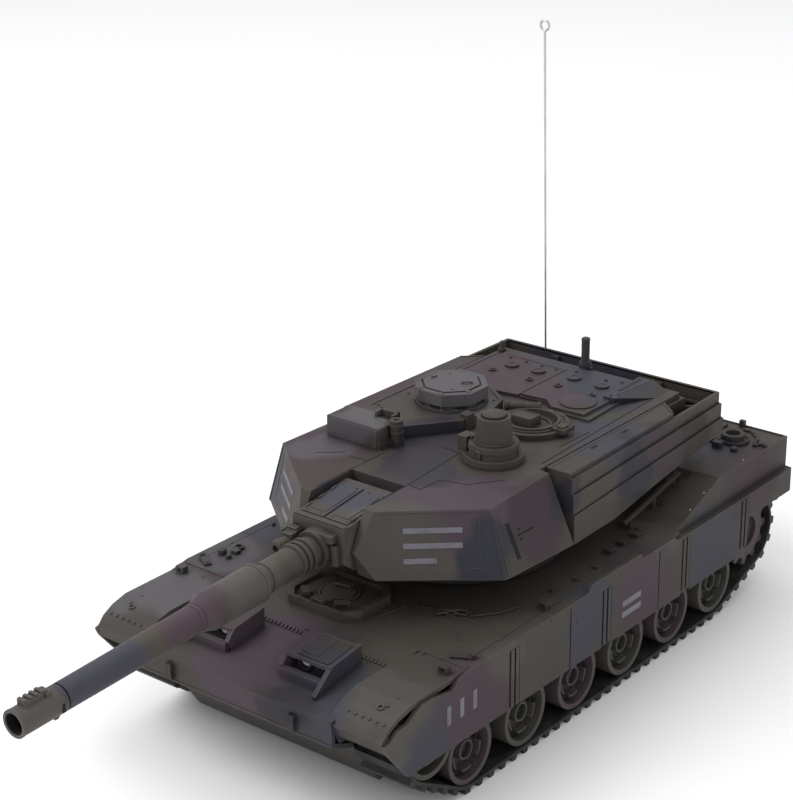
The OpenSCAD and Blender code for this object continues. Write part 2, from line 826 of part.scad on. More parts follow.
// Blow-out panels over the rear of the turret, with the long box at their left edge
module roof_panels() {
    color(plum) {
        translate([0, 0, roof_z]) {
            linear_extrude(1.6)
                polygon([[-41, 91], [-14, 93.7], [-5, 95], [-5.6, 134], [-41, 136]]);
            linear_extrude(1)
                polygon([[-4.4, 95], [10, 96.5], [21.4, 89.8], [35.3, 90], [34.4, 112], [34.4, 137],
                    [-5, 137]]);
            linear_extrude(2.2)
                polygon([[-3.6, 95.6], [9, 96.8], [15.5, 91], [31.6, 91.8], [31.6, 112], [28, 112], [28, 137],
                    [-4.2, 137]]);
            hull() {
                linear_extrude(0.1)
                    polygon([[28, 112], [31.8, 112.6], [42.6, 131], [42.6, 141], [28, 141]]);
                translate([0, 0, 3.4])
                    linear_extrude(0.1) polygon([[28, 112], [33.4, 112.6], [35.6, 141], [28, 141]]);
            }
        }
        for (p = [[-27.7, 122.1, 1.6], [-13.8, 123, 1.6], [4.7, 124.2, 2.2], [19.9, 123.3, 2.2]])
            translate([p[0], p[1], roof_z + p[2]]) cylinder(r = 2.8, h = 0.8);
    }
}

cupola_x = -18.5;
cupola_y = 65;

module cupola() {
    color(olive) {
        difference() {
            translate([0, 0, roof_z])
                linear_extrude(5)
                    polygon([[-40, 28], [-17, 28.6], [-1, 50], [2, 66], [-2, 80], [-16, 90], [-34, 88],
                        [-44, 74], [-44, 40]]);
            translate([cupola_x, cupola_y, roof_z + 3]) cylinder(r = 15.6, h = 4);
        }
        translate([cupola_x, cupola_y, roof_z + 3]) cylinder(r = 14.4, h = 5);
        translate([cupola_x, cupola_y, roof_z + 8])
            rotate([0, 0, 22.5]) {
                difference() {
                    cylinder(r = 16.2, h = 5.4, $fn = 8);
                    translate([0, 0, 4.6]) cylinder(r = 13.4, h = 2, $fn = 8);
                }
                cylinder(r = 12.6, h = 5.7, $fn = 8);
            }
        block([-3.6, 51.4, roof_z], [0.6, 56, roof_z + 7]);
    }
}

// Stepped round sight head, cut off below by the roof
module thermal_sight() {
    color(olive)
        difference() {
            translate([26.3, 34.7, roof_z - 1]) {
                cylinder(r = 12.6, h = 4);
                cylinder(r = 10.2, h = 8.8);
                translate([0, 0, 8.8]) cylinder(r1 = 7.7, r2 = 6.8, h = 11);
                cylinder(r = 4.4, h = 20.4);
                translate([-14, -4, 3.8]) cube([6, 4, 6]);
            }
            corner_hull(shell_corners(0));
        }
}

module loader_hatch() {
    color(plum)
        translate([19, 71.5, roof_z]) {
            difference() {
                union() {
                    cylinder(r = 15.6, h = 2.2);
                    cylinder(r = 13.2, h = 3);
                }
                translate([0, 0, 1]) cylinder(r = 11, h = 4);
                translate([-16, -20, -1]) cube([7, 14, 6]);
            }
            block([-9.4, -4.5, 0.8], [2.6, 3.2, 5]);
            translate([-18.4, 6.2, 3.4]) rotate([0, 90, 27.9]) cylinder(r = 1.9, h = 15.4);
            block([-16, 6.5, 0], [-13, 9.5, 3]);
            block([-8, 11, 0], [-5, 14, 3]);
        }
}

module gunner_sight() {
    color(olive)
        difference() {
            union() {
                block([-44, 13, 100], [-16.2, 27.8, 110]);
                block([-17, 19.8, 100], [-11.8, 24.6, 104]);
                translate([-14.2, 22.2, 100]) cylinder(r = 2.4, h = 12);
            }
            block([-26, 24.4, 102], [-18.4, 30, 112]);
            translate([-14.2, 22.2, 109]) cylinder(r = 1.2, h = 4);
            corner_hull(shell_corners(0));
        }
}

module roof_posts() {
    color(dark_olive) {
        translate([-0.4, 140.4, roof_z]) {
            cylinder(r = 2.8, h = 3.8);
            cylinder(r = 1.9, h = 15.6);
        }
        translate([-45, 138.4, roof_z]) {
            cylinder(r = 1.9, h = 1.6);
            cylinder(r = 1.2, h = 5);
        }
    }
}

module turret_screws() {
    color(steel)
        for (p = turret_screw_at)
            translate([p[0], p[1], under_z - 2.62]) {
                cylinder(r = 2.4, h = 0.8);
                cylinder(r = screw_r, h = 5);
            }
}

// ---------- gun ----------

// Side view of the mantlet block around its pivot
mantlet_view = [[-44, 94.4], [-11.4, 98.3], [-10, 95], [-8.2, 88], [-8.2, 80], [-20, 74.6], [-38, 75.4],
    [-44, 80]];

// Turns its children, drawn with the barrel along -Y at the pivot, to the resting angle
module gun_rest() {
    translate([0, pivot_y, pivot_z]) rotate([droop, 0, 0]) children();
}

// A round bar along the barrel, from a to b in front of the pivot
module barrel_bar(a, b, r1, r2) {
    translate([0, -a, 0]) rotate([90, 0, 0]) cylinder(r1 = r1, r2 = r2, h = b - a);
}

module mantlet() {
    half = slot_half - 0.5;
    color(olive) {
        across(-half, half) polygon(mantlet_view);
        bar_x(-slot_half - wall + 0.1, slot_half + wall - 0.1, pivot_y, pivot_z, pin_r);
        gun_rest() {
            barrel_bar(28, 33, 8.4, 7.6);
            translate([-10.4, 0, 1.4]) barrel_bar(28, 42, 2.9, 2.9);
            block([-13.4, -36, -1.6], [-7.6, -28, 5.6]);
        }
    }
}

module gun_barrel() {
    muzzle_a = barrel_l - 20.5;
    color(olive)
        gun_rest()
            difference() {
                union() {
                    barrel_bar(33, 64, 6.2, 6.1);
                    for (a = [37, 40, 43])
                        barrel_bar(a, a + 1.8, 6.9, 6.9);
                    barrel_bar(63, 64.6, 6.6, 6.6);
                    barrel_bar(64.6, 92, 7.7, 7.5);
                    barrel_bar(92, 97, 7.5, 5.8);
                    barrel_bar(97, muzzle_a - 0.8, 5.6, gun_r);
                    barrel_bar(muzzle_a - 0.8, muzzle_a, 4.8, 4.8);
                    barrel_bar(muzzle_a, barrel_l, gun_r, gun_r);
                    block([-1.8, -barrel_l + 4, 4], [1.8, -barrel_l + 14.5, gun_r + 1.7]);
                    block([-0.8, -muzzle_a - 2.6, -gun_r - 1.2], [0.8, -muzzle_a - 1, -4]);
                }
                barrel_bar(barrel_l - 30, barrel_l + 5, 4.2, 4.2);
            }
}

// ---------- assembly ----------

lower_hull();
upper_hull();
skirt();  // skirt_l
on_side(-1) skirt();  // skirt_r
both() headlamp_guard();  // headlamp_guards
both() headlamp_lens();  // headlamp_lenses
driver_hatch();
filler_cap();
engine_grilles();
deck_fittings();
rear_plate();
track();  // track_l
on_side(-1) track();  // track_r
wheel_axles();
battery_cover();
batteries();
battery_contacts();
circuit_board();
motor();  // motor_l
on_side(-1) motor();  // motor_r
gearbox();  // gearbox_l
on_side(-1) gearbox();  // gearbox_r
antenna_socket();
antenna_wire();
hull_screws();
power_switch();
wheel(1);  // wheel_l1
wheel(2);  // wheel_l2
wheel(3);  // wheel_l3
wheel(4);  // wheel_l4
wheel(5);  // wheel_l5
wheel(6);  // wheel_l6
on_side(-1) wheel(1);  // wheel_r1
on_side(-1) wheel(2);  // wheel_r2
on_side(-1) wheel(3);  // wheel_r3
on_side(-1) wheel(4);  // wheel_r4
on_side(-1) wheel(5);  // wheel_r5
on_side(-1) wheel(6);  // wheel_r6
idler();  // idler_l
on_side(-1) idler();  // idler_r
sprocket();  // sprocket_l
on_side(-1) sprocket();  // sprocket_r
drive_axle();  // drive_axle_l
on_side(-1) drive_axle();  // drive_axle_r
reduction_gear();  // reduction_gear_l
on_side(-1) reduction_gear();  // reduction_gear_r
motor_pinion();  // motor_pinion_l
on_side(-1) motor_pinion();  // motor_pinion_r
turret_shell();
turret_base();
turret_rack();
roof_panels();
cupola();
thermal_sight();
loader_hatch();
gunner_sight();
roof_posts();
turret_screws();
mantlet();
gun_barrel();
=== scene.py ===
"""Looks of a 1:24 radio-controlled toy tank: sprayed matt plastic, rubber belts and moulded detail.

Every shape is written in millimetres in the shared frame: -Y is the gun's way, +X is the tank's own left.
"""

import math

import bmesh
import bpy
from mathutils import Matrix, Vector


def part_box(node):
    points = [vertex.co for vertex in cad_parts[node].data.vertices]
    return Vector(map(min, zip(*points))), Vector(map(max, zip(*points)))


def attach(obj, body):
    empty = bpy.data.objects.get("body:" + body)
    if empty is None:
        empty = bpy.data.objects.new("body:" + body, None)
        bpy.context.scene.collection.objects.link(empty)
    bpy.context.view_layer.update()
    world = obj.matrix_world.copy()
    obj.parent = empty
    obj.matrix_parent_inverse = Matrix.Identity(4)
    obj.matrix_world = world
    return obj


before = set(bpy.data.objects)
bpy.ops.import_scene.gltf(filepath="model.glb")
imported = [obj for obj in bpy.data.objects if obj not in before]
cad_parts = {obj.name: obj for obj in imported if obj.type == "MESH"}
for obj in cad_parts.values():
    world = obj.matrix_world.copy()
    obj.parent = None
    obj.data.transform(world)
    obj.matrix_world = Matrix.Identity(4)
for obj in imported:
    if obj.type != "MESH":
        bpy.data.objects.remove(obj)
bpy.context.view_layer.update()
scene = bpy.context.scene

MM = 0.001
UP = Vector((0, 0, 1))
SIDES = (("l", 1), ("r", -1))


# ---------- materials ----------

# Sockets of a Mix node that blends colours
MIX_FACTOR, MIX_A, MIX_B, MIX_RESULT = 0, 6, 7, 2


def new_material(name, rough, specular, metal=0.0):
    """A material, its shader and its object coordinates, in metres in the shared frame."""
    mat = bpy.data.materials.new(name)
    mat.use_nodes = True
    tree = mat.node_tree
    shader = tree.nodes["Principled BSDF"]
    shader.inputs["Roughness"].default_value = rough
    shader.inputs["Metallic"].default_value = metal
    shader.inputs["Specular IOR Level"].default_value = specular
    coords = tree.nodes.new("ShaderNodeTexCoord").outputs["Object"]
    return mat, tree, shader, coords


def node(tree, kind, inputs=None, **settings):
    """A shader node whose inputs are linked to sockets or set to values."""
    made = tree.nodes.new("ShaderNode" + kind)
    for key, value in settings.items():
        setattr(made, key, value)
    for key, value in (inputs or {}).items():
        if isinstance(value, bpy.types.NodeSocket):
            tree.links.new(value, made.inputs[key])
        else:
            made.inputs[key].default_value = value
    return made


def noise(tree, coords, scale, detail=2.0, rough=0.5):
    """A cloudy value between 0 and 1; a larger scale makes it finer."""
    inputs = {"Vector": coords, "Scale": scale, "Detail": detail, "Roughness": rough}
    return node(tree, "TexNoise", inputs).outputs["Fac"]


def remap(tree, value, low, high, to_low=0.0, to_high=1.0, smooth=False):
    """A value moved from one range to another, evenly or with soft ends."""
    inputs = {"Value": value, "From Min": low, "From Max": high, "To Min": to_low, "To Max": to_high}
    kind = "SMOOTHSTEP" if smooth else "LINEAR"
    return node(tree, "MapRange", inputs, interpolation_type=kind).outputs["Result"]


def product(tree, a, b):
    return node(tree, "Math", {0: a, 1: b}, operation="MULTIPLY").outputs[0]


def vector_node(tree, operation, inputs, output="Vector"):
    return node(tree, "VectorMath", inputs, operation=operation).outputs[output]


def mix(tree, factor, a, b):
    """Colour a where the factor is 0 and colour b where it is 1."""
    made = node(tree, "Mix", {MIX_FACTOR: factor}, data_type="RGBA")
    for key, value in ((MIX_A, a), (MIX_B, b)):
        if isinstance(value, bpy.types.NodeSocket):
            tree.links.new(value, made.inputs[key])
        else:
            made.inputs[key].default_value = (*value, 1.0)
    return made.outputs[MIX_RESULT]


def surface(tree, shader, colour, rough=None):
    """Connects the shader's colour and, if given, its roughness."""
    tree.links.new(colour, shader.inputs["Base Color"])
    if rough:
        tree.links.new(rough, shader.inputs["Roughness"])


def bump(tree, shader, height, strength, distance):
    """Fine relief on the surface; the distance is in metres."""
    made = node(tree, "Bump", {"Height": height, "Strength": strength, "Distance": distance})
    tree.links.new(made.outputs["Normal"], shader.inputs["Normal"])


# Spray colours, darker and lighter tones that are painted shade and painted light, and the tones of painted
# shade in hollows and of rubbed edges
OLIVE = (0.048, 0.042, 0.036)
PLUM = (0.051, 0.034, 0.043)
BLUE = (0.038, 0.038, 0.051)
BROWN = (0.048, 0.034, 0.033)
# Painted shade: darker tones put where faces lie in shade
SHADED_GREY = (0.028, 0.025, 0.032)
SHADED_PLUM = (0.039, 0.026, 0.033)
SHADED_BLUE = (0.026, 0.026, 0.038)
DEEP_SHADE_BLUE = (0.021, 0.020, 0.028)
SHADED_BROWN = (0.026, 0.020, 0.018)
# Painted light: a lighter olive where faces catch more light
LIT_OLIVE = (0.062, 0.056, 0.050)
# A pale plum of the camouflage
MAUVE = (0.058, 0.042, 0.054)
# Painted sheen and painted light: pale greys on tops on the far side
PAINTED_SHEEN = (0.084, 0.078, 0.085)
LIT_GREY = (0.070, 0.064, 0.071)
# Painted shade in hollows, then the pale of rubbed paint on edges
HOLLOW_SHADE = (0.009, 0.008, 0.008)
WORN = (0.17, 0.165, 0.16)

# Sprayed patches, and patches of painted light and painted shade: centre in millimetres, radius, colour
PATCHES = [
    # hull
    ((2, -76, 50), 30, MAUVE),
    ((38, -84, 50), 20, BLUE),
    ((-62, -24, 56), 34, PLUM),
    ((-66, 10, 50), 24, BLUE),
    ((-75, 60, 40), 34, PLUM),
    ((-75, 118, 46), 28, BLUE),
    ((-74, 166, 56), 24, BROWN),
    ((78, -68, 36), 17, BLUE),
    ((77, -91, 41), 12, LIT_OLIVE),
    ((62, -80, 57), 18, LIT_OLIVE),
    ((77, -19, 51), 13, LIT_OLIVE),
    ((28, -94, 49), 11, SHADED_GREY),
    ((67, 98, 58), 13, LIT_OLIVE),
    ((83, -42, 37), 25, PLUM),
    ((76, 34, 42), 18, BLUE),
    ((76, 74, 40), 24, PLUM),
    ((80, 132, 38), 25, BLUE),
    ((74, 166, 60), 24, SHADED_PLUM),
    ((40, 158, 69), 22, BLUE),
    ((-20, 190, 66), 30, PLUM),
    ((10, 40, 56), 34, PLUM),
    # painted sheen and painted light on the far side's deck
    ((-62, -70, 55), 22, PAINTED_SHEEN),
    ((-66, -30, 56), 20, LIT_GREY),
    ((-68, 40, 56), 26, LIT_GREY),
    # turret
    ((-52, -6, 88), 20, BLUE),
    ((-28, -16, 98), 19, BROWN),
    ((-38, 8, 101), 19, PLUM),
    ((52, -8, 84), 18, SHADED_GREY),
    ((34, -4, 102), 23, MAUVE),
    ((60, 20, 88), 21, SHADED_PLUM),
    ((20, -30, 84), 16, LIT_OLIVE),
    ((60, 38, 88), 9, SHADED_GREY),
    ((10, 12, 101), 19, SHADED_GREY),
    ((-1, 35, 101), 16, SHADED_GREY),
    ((-62, 70, 90), 30, PLUM),
    ((-30, 112, 104), 30, PLUM),
    ((20, 126, 104), 26, BLUE),
    ((6, 96, 104), 16, PLUM),
    ((56, 86, 106), 25, BLUE),
    # painted shade on the rack's near side
    ((64, 90, 84), 20, DEEP_SHADE_BLUE),
    ((62, 112, 86), 14, SHADED_PLUM),
    ((60, 136, 84), 18, SHADED_BROWN),
    ((-10, 160, 86), 34, BLUE),
    # painted sheen and painted light on the far side's sight, cupola and roof
    ((-31, 20, 110), 15, PAINTED_SHEEN),
    ((-18, 65, 116), 19, PAINTED_SHEEN),
    ((-36, 4, 102), 14, LIT_GREY),
    ((33, -28, 85), 18, LIT_OLIVE),
    ((55, -11, 83), 13, SHADED_BLUE),
    # gun and mantlet
    ((0, -24, 97), 17, BLUE),
    ((0, -190, 78), 17, LIT_OLIVE),
    ((0, -160, 80), 18, BLUE),
    ((0, -118, 88), 16, PLUM),
    ((4, -86, 80), 20, LIT_OLIVE),
]

# A patch fades out between these two parts of its radius
SPRAY_END, SPRAY_FULL = 1.12, 0.72
# The patches' outlines wander: waves per metre, and reach in metres
WANDER_SCALE, WANDER_REACH = 34.0, 0.034


def camouflage_group():
    """The sprayed colours with patches of painted light and painted shade, as one group that every painted
    material shares.
    """
    group = bpy.data.node_groups.new("camouflage", "ShaderNodeTree")
    group.interface.new_socket("Vector", in_out="INPUT", socket_type="NodeSocketVector")
    group.interface.new_socket("Color", in_out="OUTPUT", socket_type="NodeSocketColor")
    inside = group.nodes.new("NodeGroupInput")
    outside = group.nodes.new("NodeGroupOutput")
    coords = inside.outputs[0]
    warp = node(group, "TexNoise", {"Vector": coords, "Scale": WANDER_SCALE, "Detail": 2.0})
    centred = vector_node(group, "SUBTRACT", {0: warp.outputs["Color"], 1: (0.5, 0.5, 0.5)})
    shift = vector_node(group, "SCALE", {0: centred, "Scale": WANDER_REACH})
    moved = vector_node(group, "ADD", {0: coords, 1: shift})
    colour = OLIVE
    for centre, radius, paint in PATCHES:
        point = tuple(c * MM for c in centre)
        away = vector_node(group, "DISTANCE", {0: moved, 1: point}, "Value")
        spray = remap(group, away, radius * MM * SPRAY_END, radius * MM * SPRAY_FULL, smooth=True)
        colour = mix(group, spray, colour, paint)
    group.links.new(colour, outside.inputs[0])
    return group


CAMOUFLAGE = camouflage_group()


def hollow_shade(tree):
    """How far painted shade darkens the surface: most in hollows and inner corners."""
    hollow = node(tree, "AmbientOcclusion", {"Distance": 0.003}, samples=4).outputs["AO"]
    return remap(tree, hollow, 0.35, 0.95, 0.55, 0.0)


def wear(tree, cloud):
    """How far the paint is rubbed pale: along edges, unevenly."""
    rounded = node(tree, "Bevel", {"Radius": 0.0006}, samples=4).outputs["Normal"]
    flat = node(tree, "NewGeometry").outputs["Normal"]
    agree = vector_node(tree, "DOT_PRODUCT", {0: rounded, 1: flat}, "Value")
    rubbed = remap(tree, agree, 0.985, 0.86, 0.0, 0.3)
    return product(tree, rubbed, remap(tree, cloud, 0.3, 0.6, 0.4, 1.0))


def painted(name, plain=None, shade=1.0, rough=0.55):
    """Matt plastic, in sprayed patches or one plain colour, with grain, painted shade in hollows, and wear.
    """
    mat, tree, shader, coords = new_material(name, rough, 0.22)
    if plain is None:
        group = node(tree, "Group", node_tree=CAMOUFLAGE)
        tree.links.new(coords, group.inputs[0])
        colour = group.outputs[0]
    else:
        faded = [c * 0.86 for c in plain]
        colour = mix(tree, remap(tree, noise(tree, coords, 60.0), 0.35, 0.65), plain, faded)
    grain = noise(tree, coords, 900.0, 3.0, 0.6)
    cloud = noise(tree, coords, 90.0, 4.0, 0.6)
    fine = remap(tree, grain, 0.2, 0.8, 0.93 * shade, 1.07 * shade)
    broad = remap(tree, cloud, 0.25, 0.75, 0.92, 1.08)
    toned = vector_node(tree, "SCALE", {0: colour, "Scale": product(tree, fine, broad)})
    # Painted shade in hollows and inner corners, from ambient occlusion
    toned = mix(tree, hollow_shade(tree), toned, HOLLOW_SHADE)
    toned = mix(tree, wear(tree, cloud), toned, WORN)
    surface(tree, shader, toned, remap(tree, cloud, 0.2, 0.8, rough - 0.06, rough + 0.1))
    bump(tree, shader, grain, 0.22, 0.00006)
    return mat


def rubber(name):
    """Black rubber, dusty in its texture."""
    mat, tree, shader, coords = new_material(name, 0.62, 0.3)
    dust = remap(tree, noise(tree, coords, 160.0, 5.0, 0.65), 0.42, 0.78)
    tone = mix(tree, dust, (0.012, 0.012, 0.013), (0.045, 0.043, 0.042))
    surface(tree, shader, tone, remap(tree, dust, 0.0, 1.0, 0.52, 0.8))
    bump(tree, shader, noise(tree, coords, 1400.0, 3.0), 0.3, 0.00008)
    return mat


def metal(name, colour, rough, scratch=500.0):
    """Plain metal with fine drawn lines along X and a cloudy tone."""
    mat, tree, shader, coords = new_material(name, rough, 0.5, 1.0)
    drawn = node(tree, "Mapping", {"Vector": coords, "Scale": (0.12, 1.0, 1.0)}).outputs[0]
    lines = noise(tree, drawn, scratch * 4, 3.0)
    cloud = noise(tree, coords, 120.0, 3.0)
    tone = mix(tree, remap(tree, cloud, 0.3, 0.7), colour, [c * 0.78 for c in colour])
    surface(tree, shader, tone, remap(tree, lines, 0.3, 0.7, rough - 0.08, rough + 0.12))
    bump(tree, shader, lines, 0.15, 0.00003)
    return mat


def plastic(name, colour, rough, other=None):
    """Unpainted plastic with a faint cloud of a second tone."""
    mat, tree, shader, coords = new_material(name, rough, 0.45)
    cloud = noise(tree, coords, 140.0, 4.0)
    second = other or [c * 0.85 for c in colour]
    tone = mix(tree, remap(tree, cloud, 0.35, 0.7), colour, second)
    surface(tree, shader, tone, remap(tree, cloud, 0.2, 0.8, rough - 0.05, rough + 0.08))
    bump(tree, shader, noise(tree, coords, 1100.0), 0.12, 0.00004)
    return mat


def lens_white(name):
    """A white lamp lens with fine rings."""
    mat, tree, shader, coords = new_material(name, 0.18, 0.6)
    rings = node(tree, "TexWave", {"Vector": coords, "Scale": 900.0, "Distortion": 1.5}, wave_type="RINGS")
    surface(tree, shader, mix(tree, rings.outputs["Fac"], (0.80, 0.82, 0.84), (0.62, 0.66, 0.70)))
    bump(tree, shader, rings.outputs["Fac"], 0.2, 0.0001)
    return mat


def board_green(name):
    """Green lacquer over copper tracks."""
    mat, tree, shader, coords = new_material(name, 0.3, 0.5)
    tracks = node(tree, "TexBrick", {"Vector": coords, "Scale": 260.0, "Mortar Size": 0.04}).outputs["Fac"]
    surface(tree, shader, mix(tree, tracks, (0.012, 0.13, 0.04), (0.05, 0.26, 0.09)))
    bump(tree, shader, tracks, 0.3, 0.00005)
    return mat


def floor_white(name):
    mat, tree, shader, coords = new_material(name, 0.7, 0.2)
    surface(tree, shader, mix(tree, noise(tree, coords, 3.0), (0.90, 0.90, 0.90), (0.93, 0.93, 0.93)))
    return mat


SPRAYED = painted("sprayed_plastic")
SPRAYED_DARK = painted("sprayed_detail", shade=0.74)
# The same spray made 1.3 times as bright for the gun and mantlet: painted light
SPRAYED_GUN_LIT = painted("sprayed_gun_lit", shade=1.3)
UNDERSIDE = painted("plain_underside", plain=(0.040, 0.038, 0.035))
WHEEL_OLIVE = painted("wheel_olive", plain=(0.058, 0.055, 0.046), rough=0.45)
WHEEL_PLUM = painted("wheel_plum", plain=(0.060, 0.045, 0.052), rough=0.45)
# Near black: painted shade in gaps, slots, bores and hollows, dark glass in windows, and the power switch
RECESS = plastic("dark_recess", (0.003, 0.003, 0.004), 0.85)
MARK = plastic("pale_marking", (0.145, 0.138, 0.168), 0.6, (0.105, 0.099, 0.120))
CHIP = plastic("paint_chip", (0.55, 0.54, 0.55), 0.6)
RUBBER = rubber("belt_rubber")
STEEL = metal("plain_steel", (0.56, 0.56, 0.57), 0.35)
BLACKENED = metal("blackened_steel", (0.045, 0.044, 0.045), 0.5)
WIRE = metal("spring_wire", (0.60, 0.60, 0.61), 0.28)
MOTOR = metal("plated_can", (0.50, 0.50, 0.48), 0.32, 200.0)
CELL = metal("cell_sleeve", (0.55, 0.45, 0.16), 0.3, 80.0)
LENS = lens_white("lamp_lens")
BOARD = board_green("board_lacquer")
ACETAL = plastic("white_acetal", (0.72, 0.72, 0.68), 0.35)


# ---------- CAD nodes: materials and softened edges ----------

NODE_LOOKS = {
    SPRAYED: [
        "upper_hull", "driver_hatch", "turret_shell", "cupola", "thermal_sight", "gunner_sight",
        "skirt_l", "skirt_r", "turret_rack", "roof_panels", "loader_hatch", "headlamp_guards",
    ],
    SPRAYED_DARK: [
        "filler_cap", "engine_grilles", "deck_fittings", "rear_plate", "antenna_socket", "roof_posts",
    ],
    SPRAYED_GUN_LIT: ["mantlet", "gun_barrel"],
    UNDERSIDE: ["lower_hull", "battery_cover", "turret_base"],
    RECESS: ["power_switch"],
    LENS: ["headlamp_lenses"],
    RUBBER: ["track_l", "track_r"],
    STEEL: [
        "battery_contacts", "hull_screws", "turret_screws",
        "drive_axle_l", "drive_axle_r", "motor_pinion_l", "motor_pinion_r",
    ],
    BLACKENED: ["wheel_axles"],
    WIRE: ["antenna_wire"],
    MOTOR: ["motor_l", "motor_r"],
    CELL: ["batteries"],
    BOARD: ["circuit_board"],
    ACETAL: ["gearbox_l", "gearbox_r", "reduction_gear_l", "reduction_gear_r"],
    WHEEL_PLUM: [f"wheel_{side}{i}" for side in "lr" for i in (1, 3, 5)] + ["sprocket_l", "sprocket_r"],
    WHEEL_OLIVE: [f"wheel_{side}{i}" for side in "lr" for i in (2, 4, 6)] + ["idler_l", "idler_r"],
}
# Edges sharper than these angles are bevelled, or shaded sharp
BEVEL_ANGLE, SHARP_ANGLE = math.radians(34), math.radians(32)
# Widths of softened edges in millimetres, and the nodes that keep sharp ones
USUAL_EDGE = 0.25
OTHER_EDGES = {"antenna_wire": 0.0, "batteries": 0.4, "track_l": 0.2, "track_r": 0.2}
SHARP = ("reduction_gear", "motor_pinion", "drive_axle", "battery_contacts", "circuit_board", "wheel_axles")


def dress_nodes():
    """Gives every CAD node its material and softens its edges."""
    for material, names in NODE_LOOKS.items():
        for name in names:
            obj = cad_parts[name]
            if not obj.material_slots:
                obj.data.materials.append(material)
            for held in obj.material_slots:
                held.link = "OBJECT"
                held.material = material
            width = OTHER_EDGES.get(name, USUAL_EDGE)
            if width and not name.startswith(SHARP):
                weld = obj.modifiers.new("weld", "WELD")
                weld.merge_threshold = 0.01 * MM
                soften(obj, width)


def soften(obj, width):
    bevel = obj.modifiers.new("soft_edges", "BEVEL")
    bevel.width = width * MM
    bevel.segments = 2
    bevel.limit_method = "ANGLE"
    bevel.angle_limit = BEVEL_ANGLE


# ---------- a small modeller ----------


def axes_at(x, y, z, at):
    """Matrix with these three axes, at a point."""
    m = Matrix((x, y, z)).transposed().to_4x4()
    m.translation = at
    return m


def place(at, z=UP, x=(1, 0, 0)):
    """Matrix that puts local Z along z and local X near x, at a point in millimetres."""
    z = Vector(z).normalized()
    x = Vector(x)
    x = (x - z * x.dot(z)).normalized()
    y = z.cross(x)
    return axes_at(x, y, z, at)


def shifted(m, x, y, z=0.0):
    """The frame m moved along its own axes."""
    return m @ Matrix.Translation((x, y, z))


def turns(sides):
    """Angles evenly spaced once round."""
    return [math.tau * k / sides for k in range(sides)]


# Parts of a full turn, in radians
EIGHTH, SIXTH, FOURTEENTH = 0.785, 1.047, 0.449


def around(x, y, radius, count, step, start=0.0):
    """Points on a circle in the XY plane, a step in radians apart."""
    angles = [start + k * step for k in range(count)]
    return [(x + radius * math.cos(a), y + radius * math.sin(a)) for a in angles]


def link(name, data):
    obj = bpy.data.objects.new(name, data)
    scene.collection.objects.link(obj)
    return obj


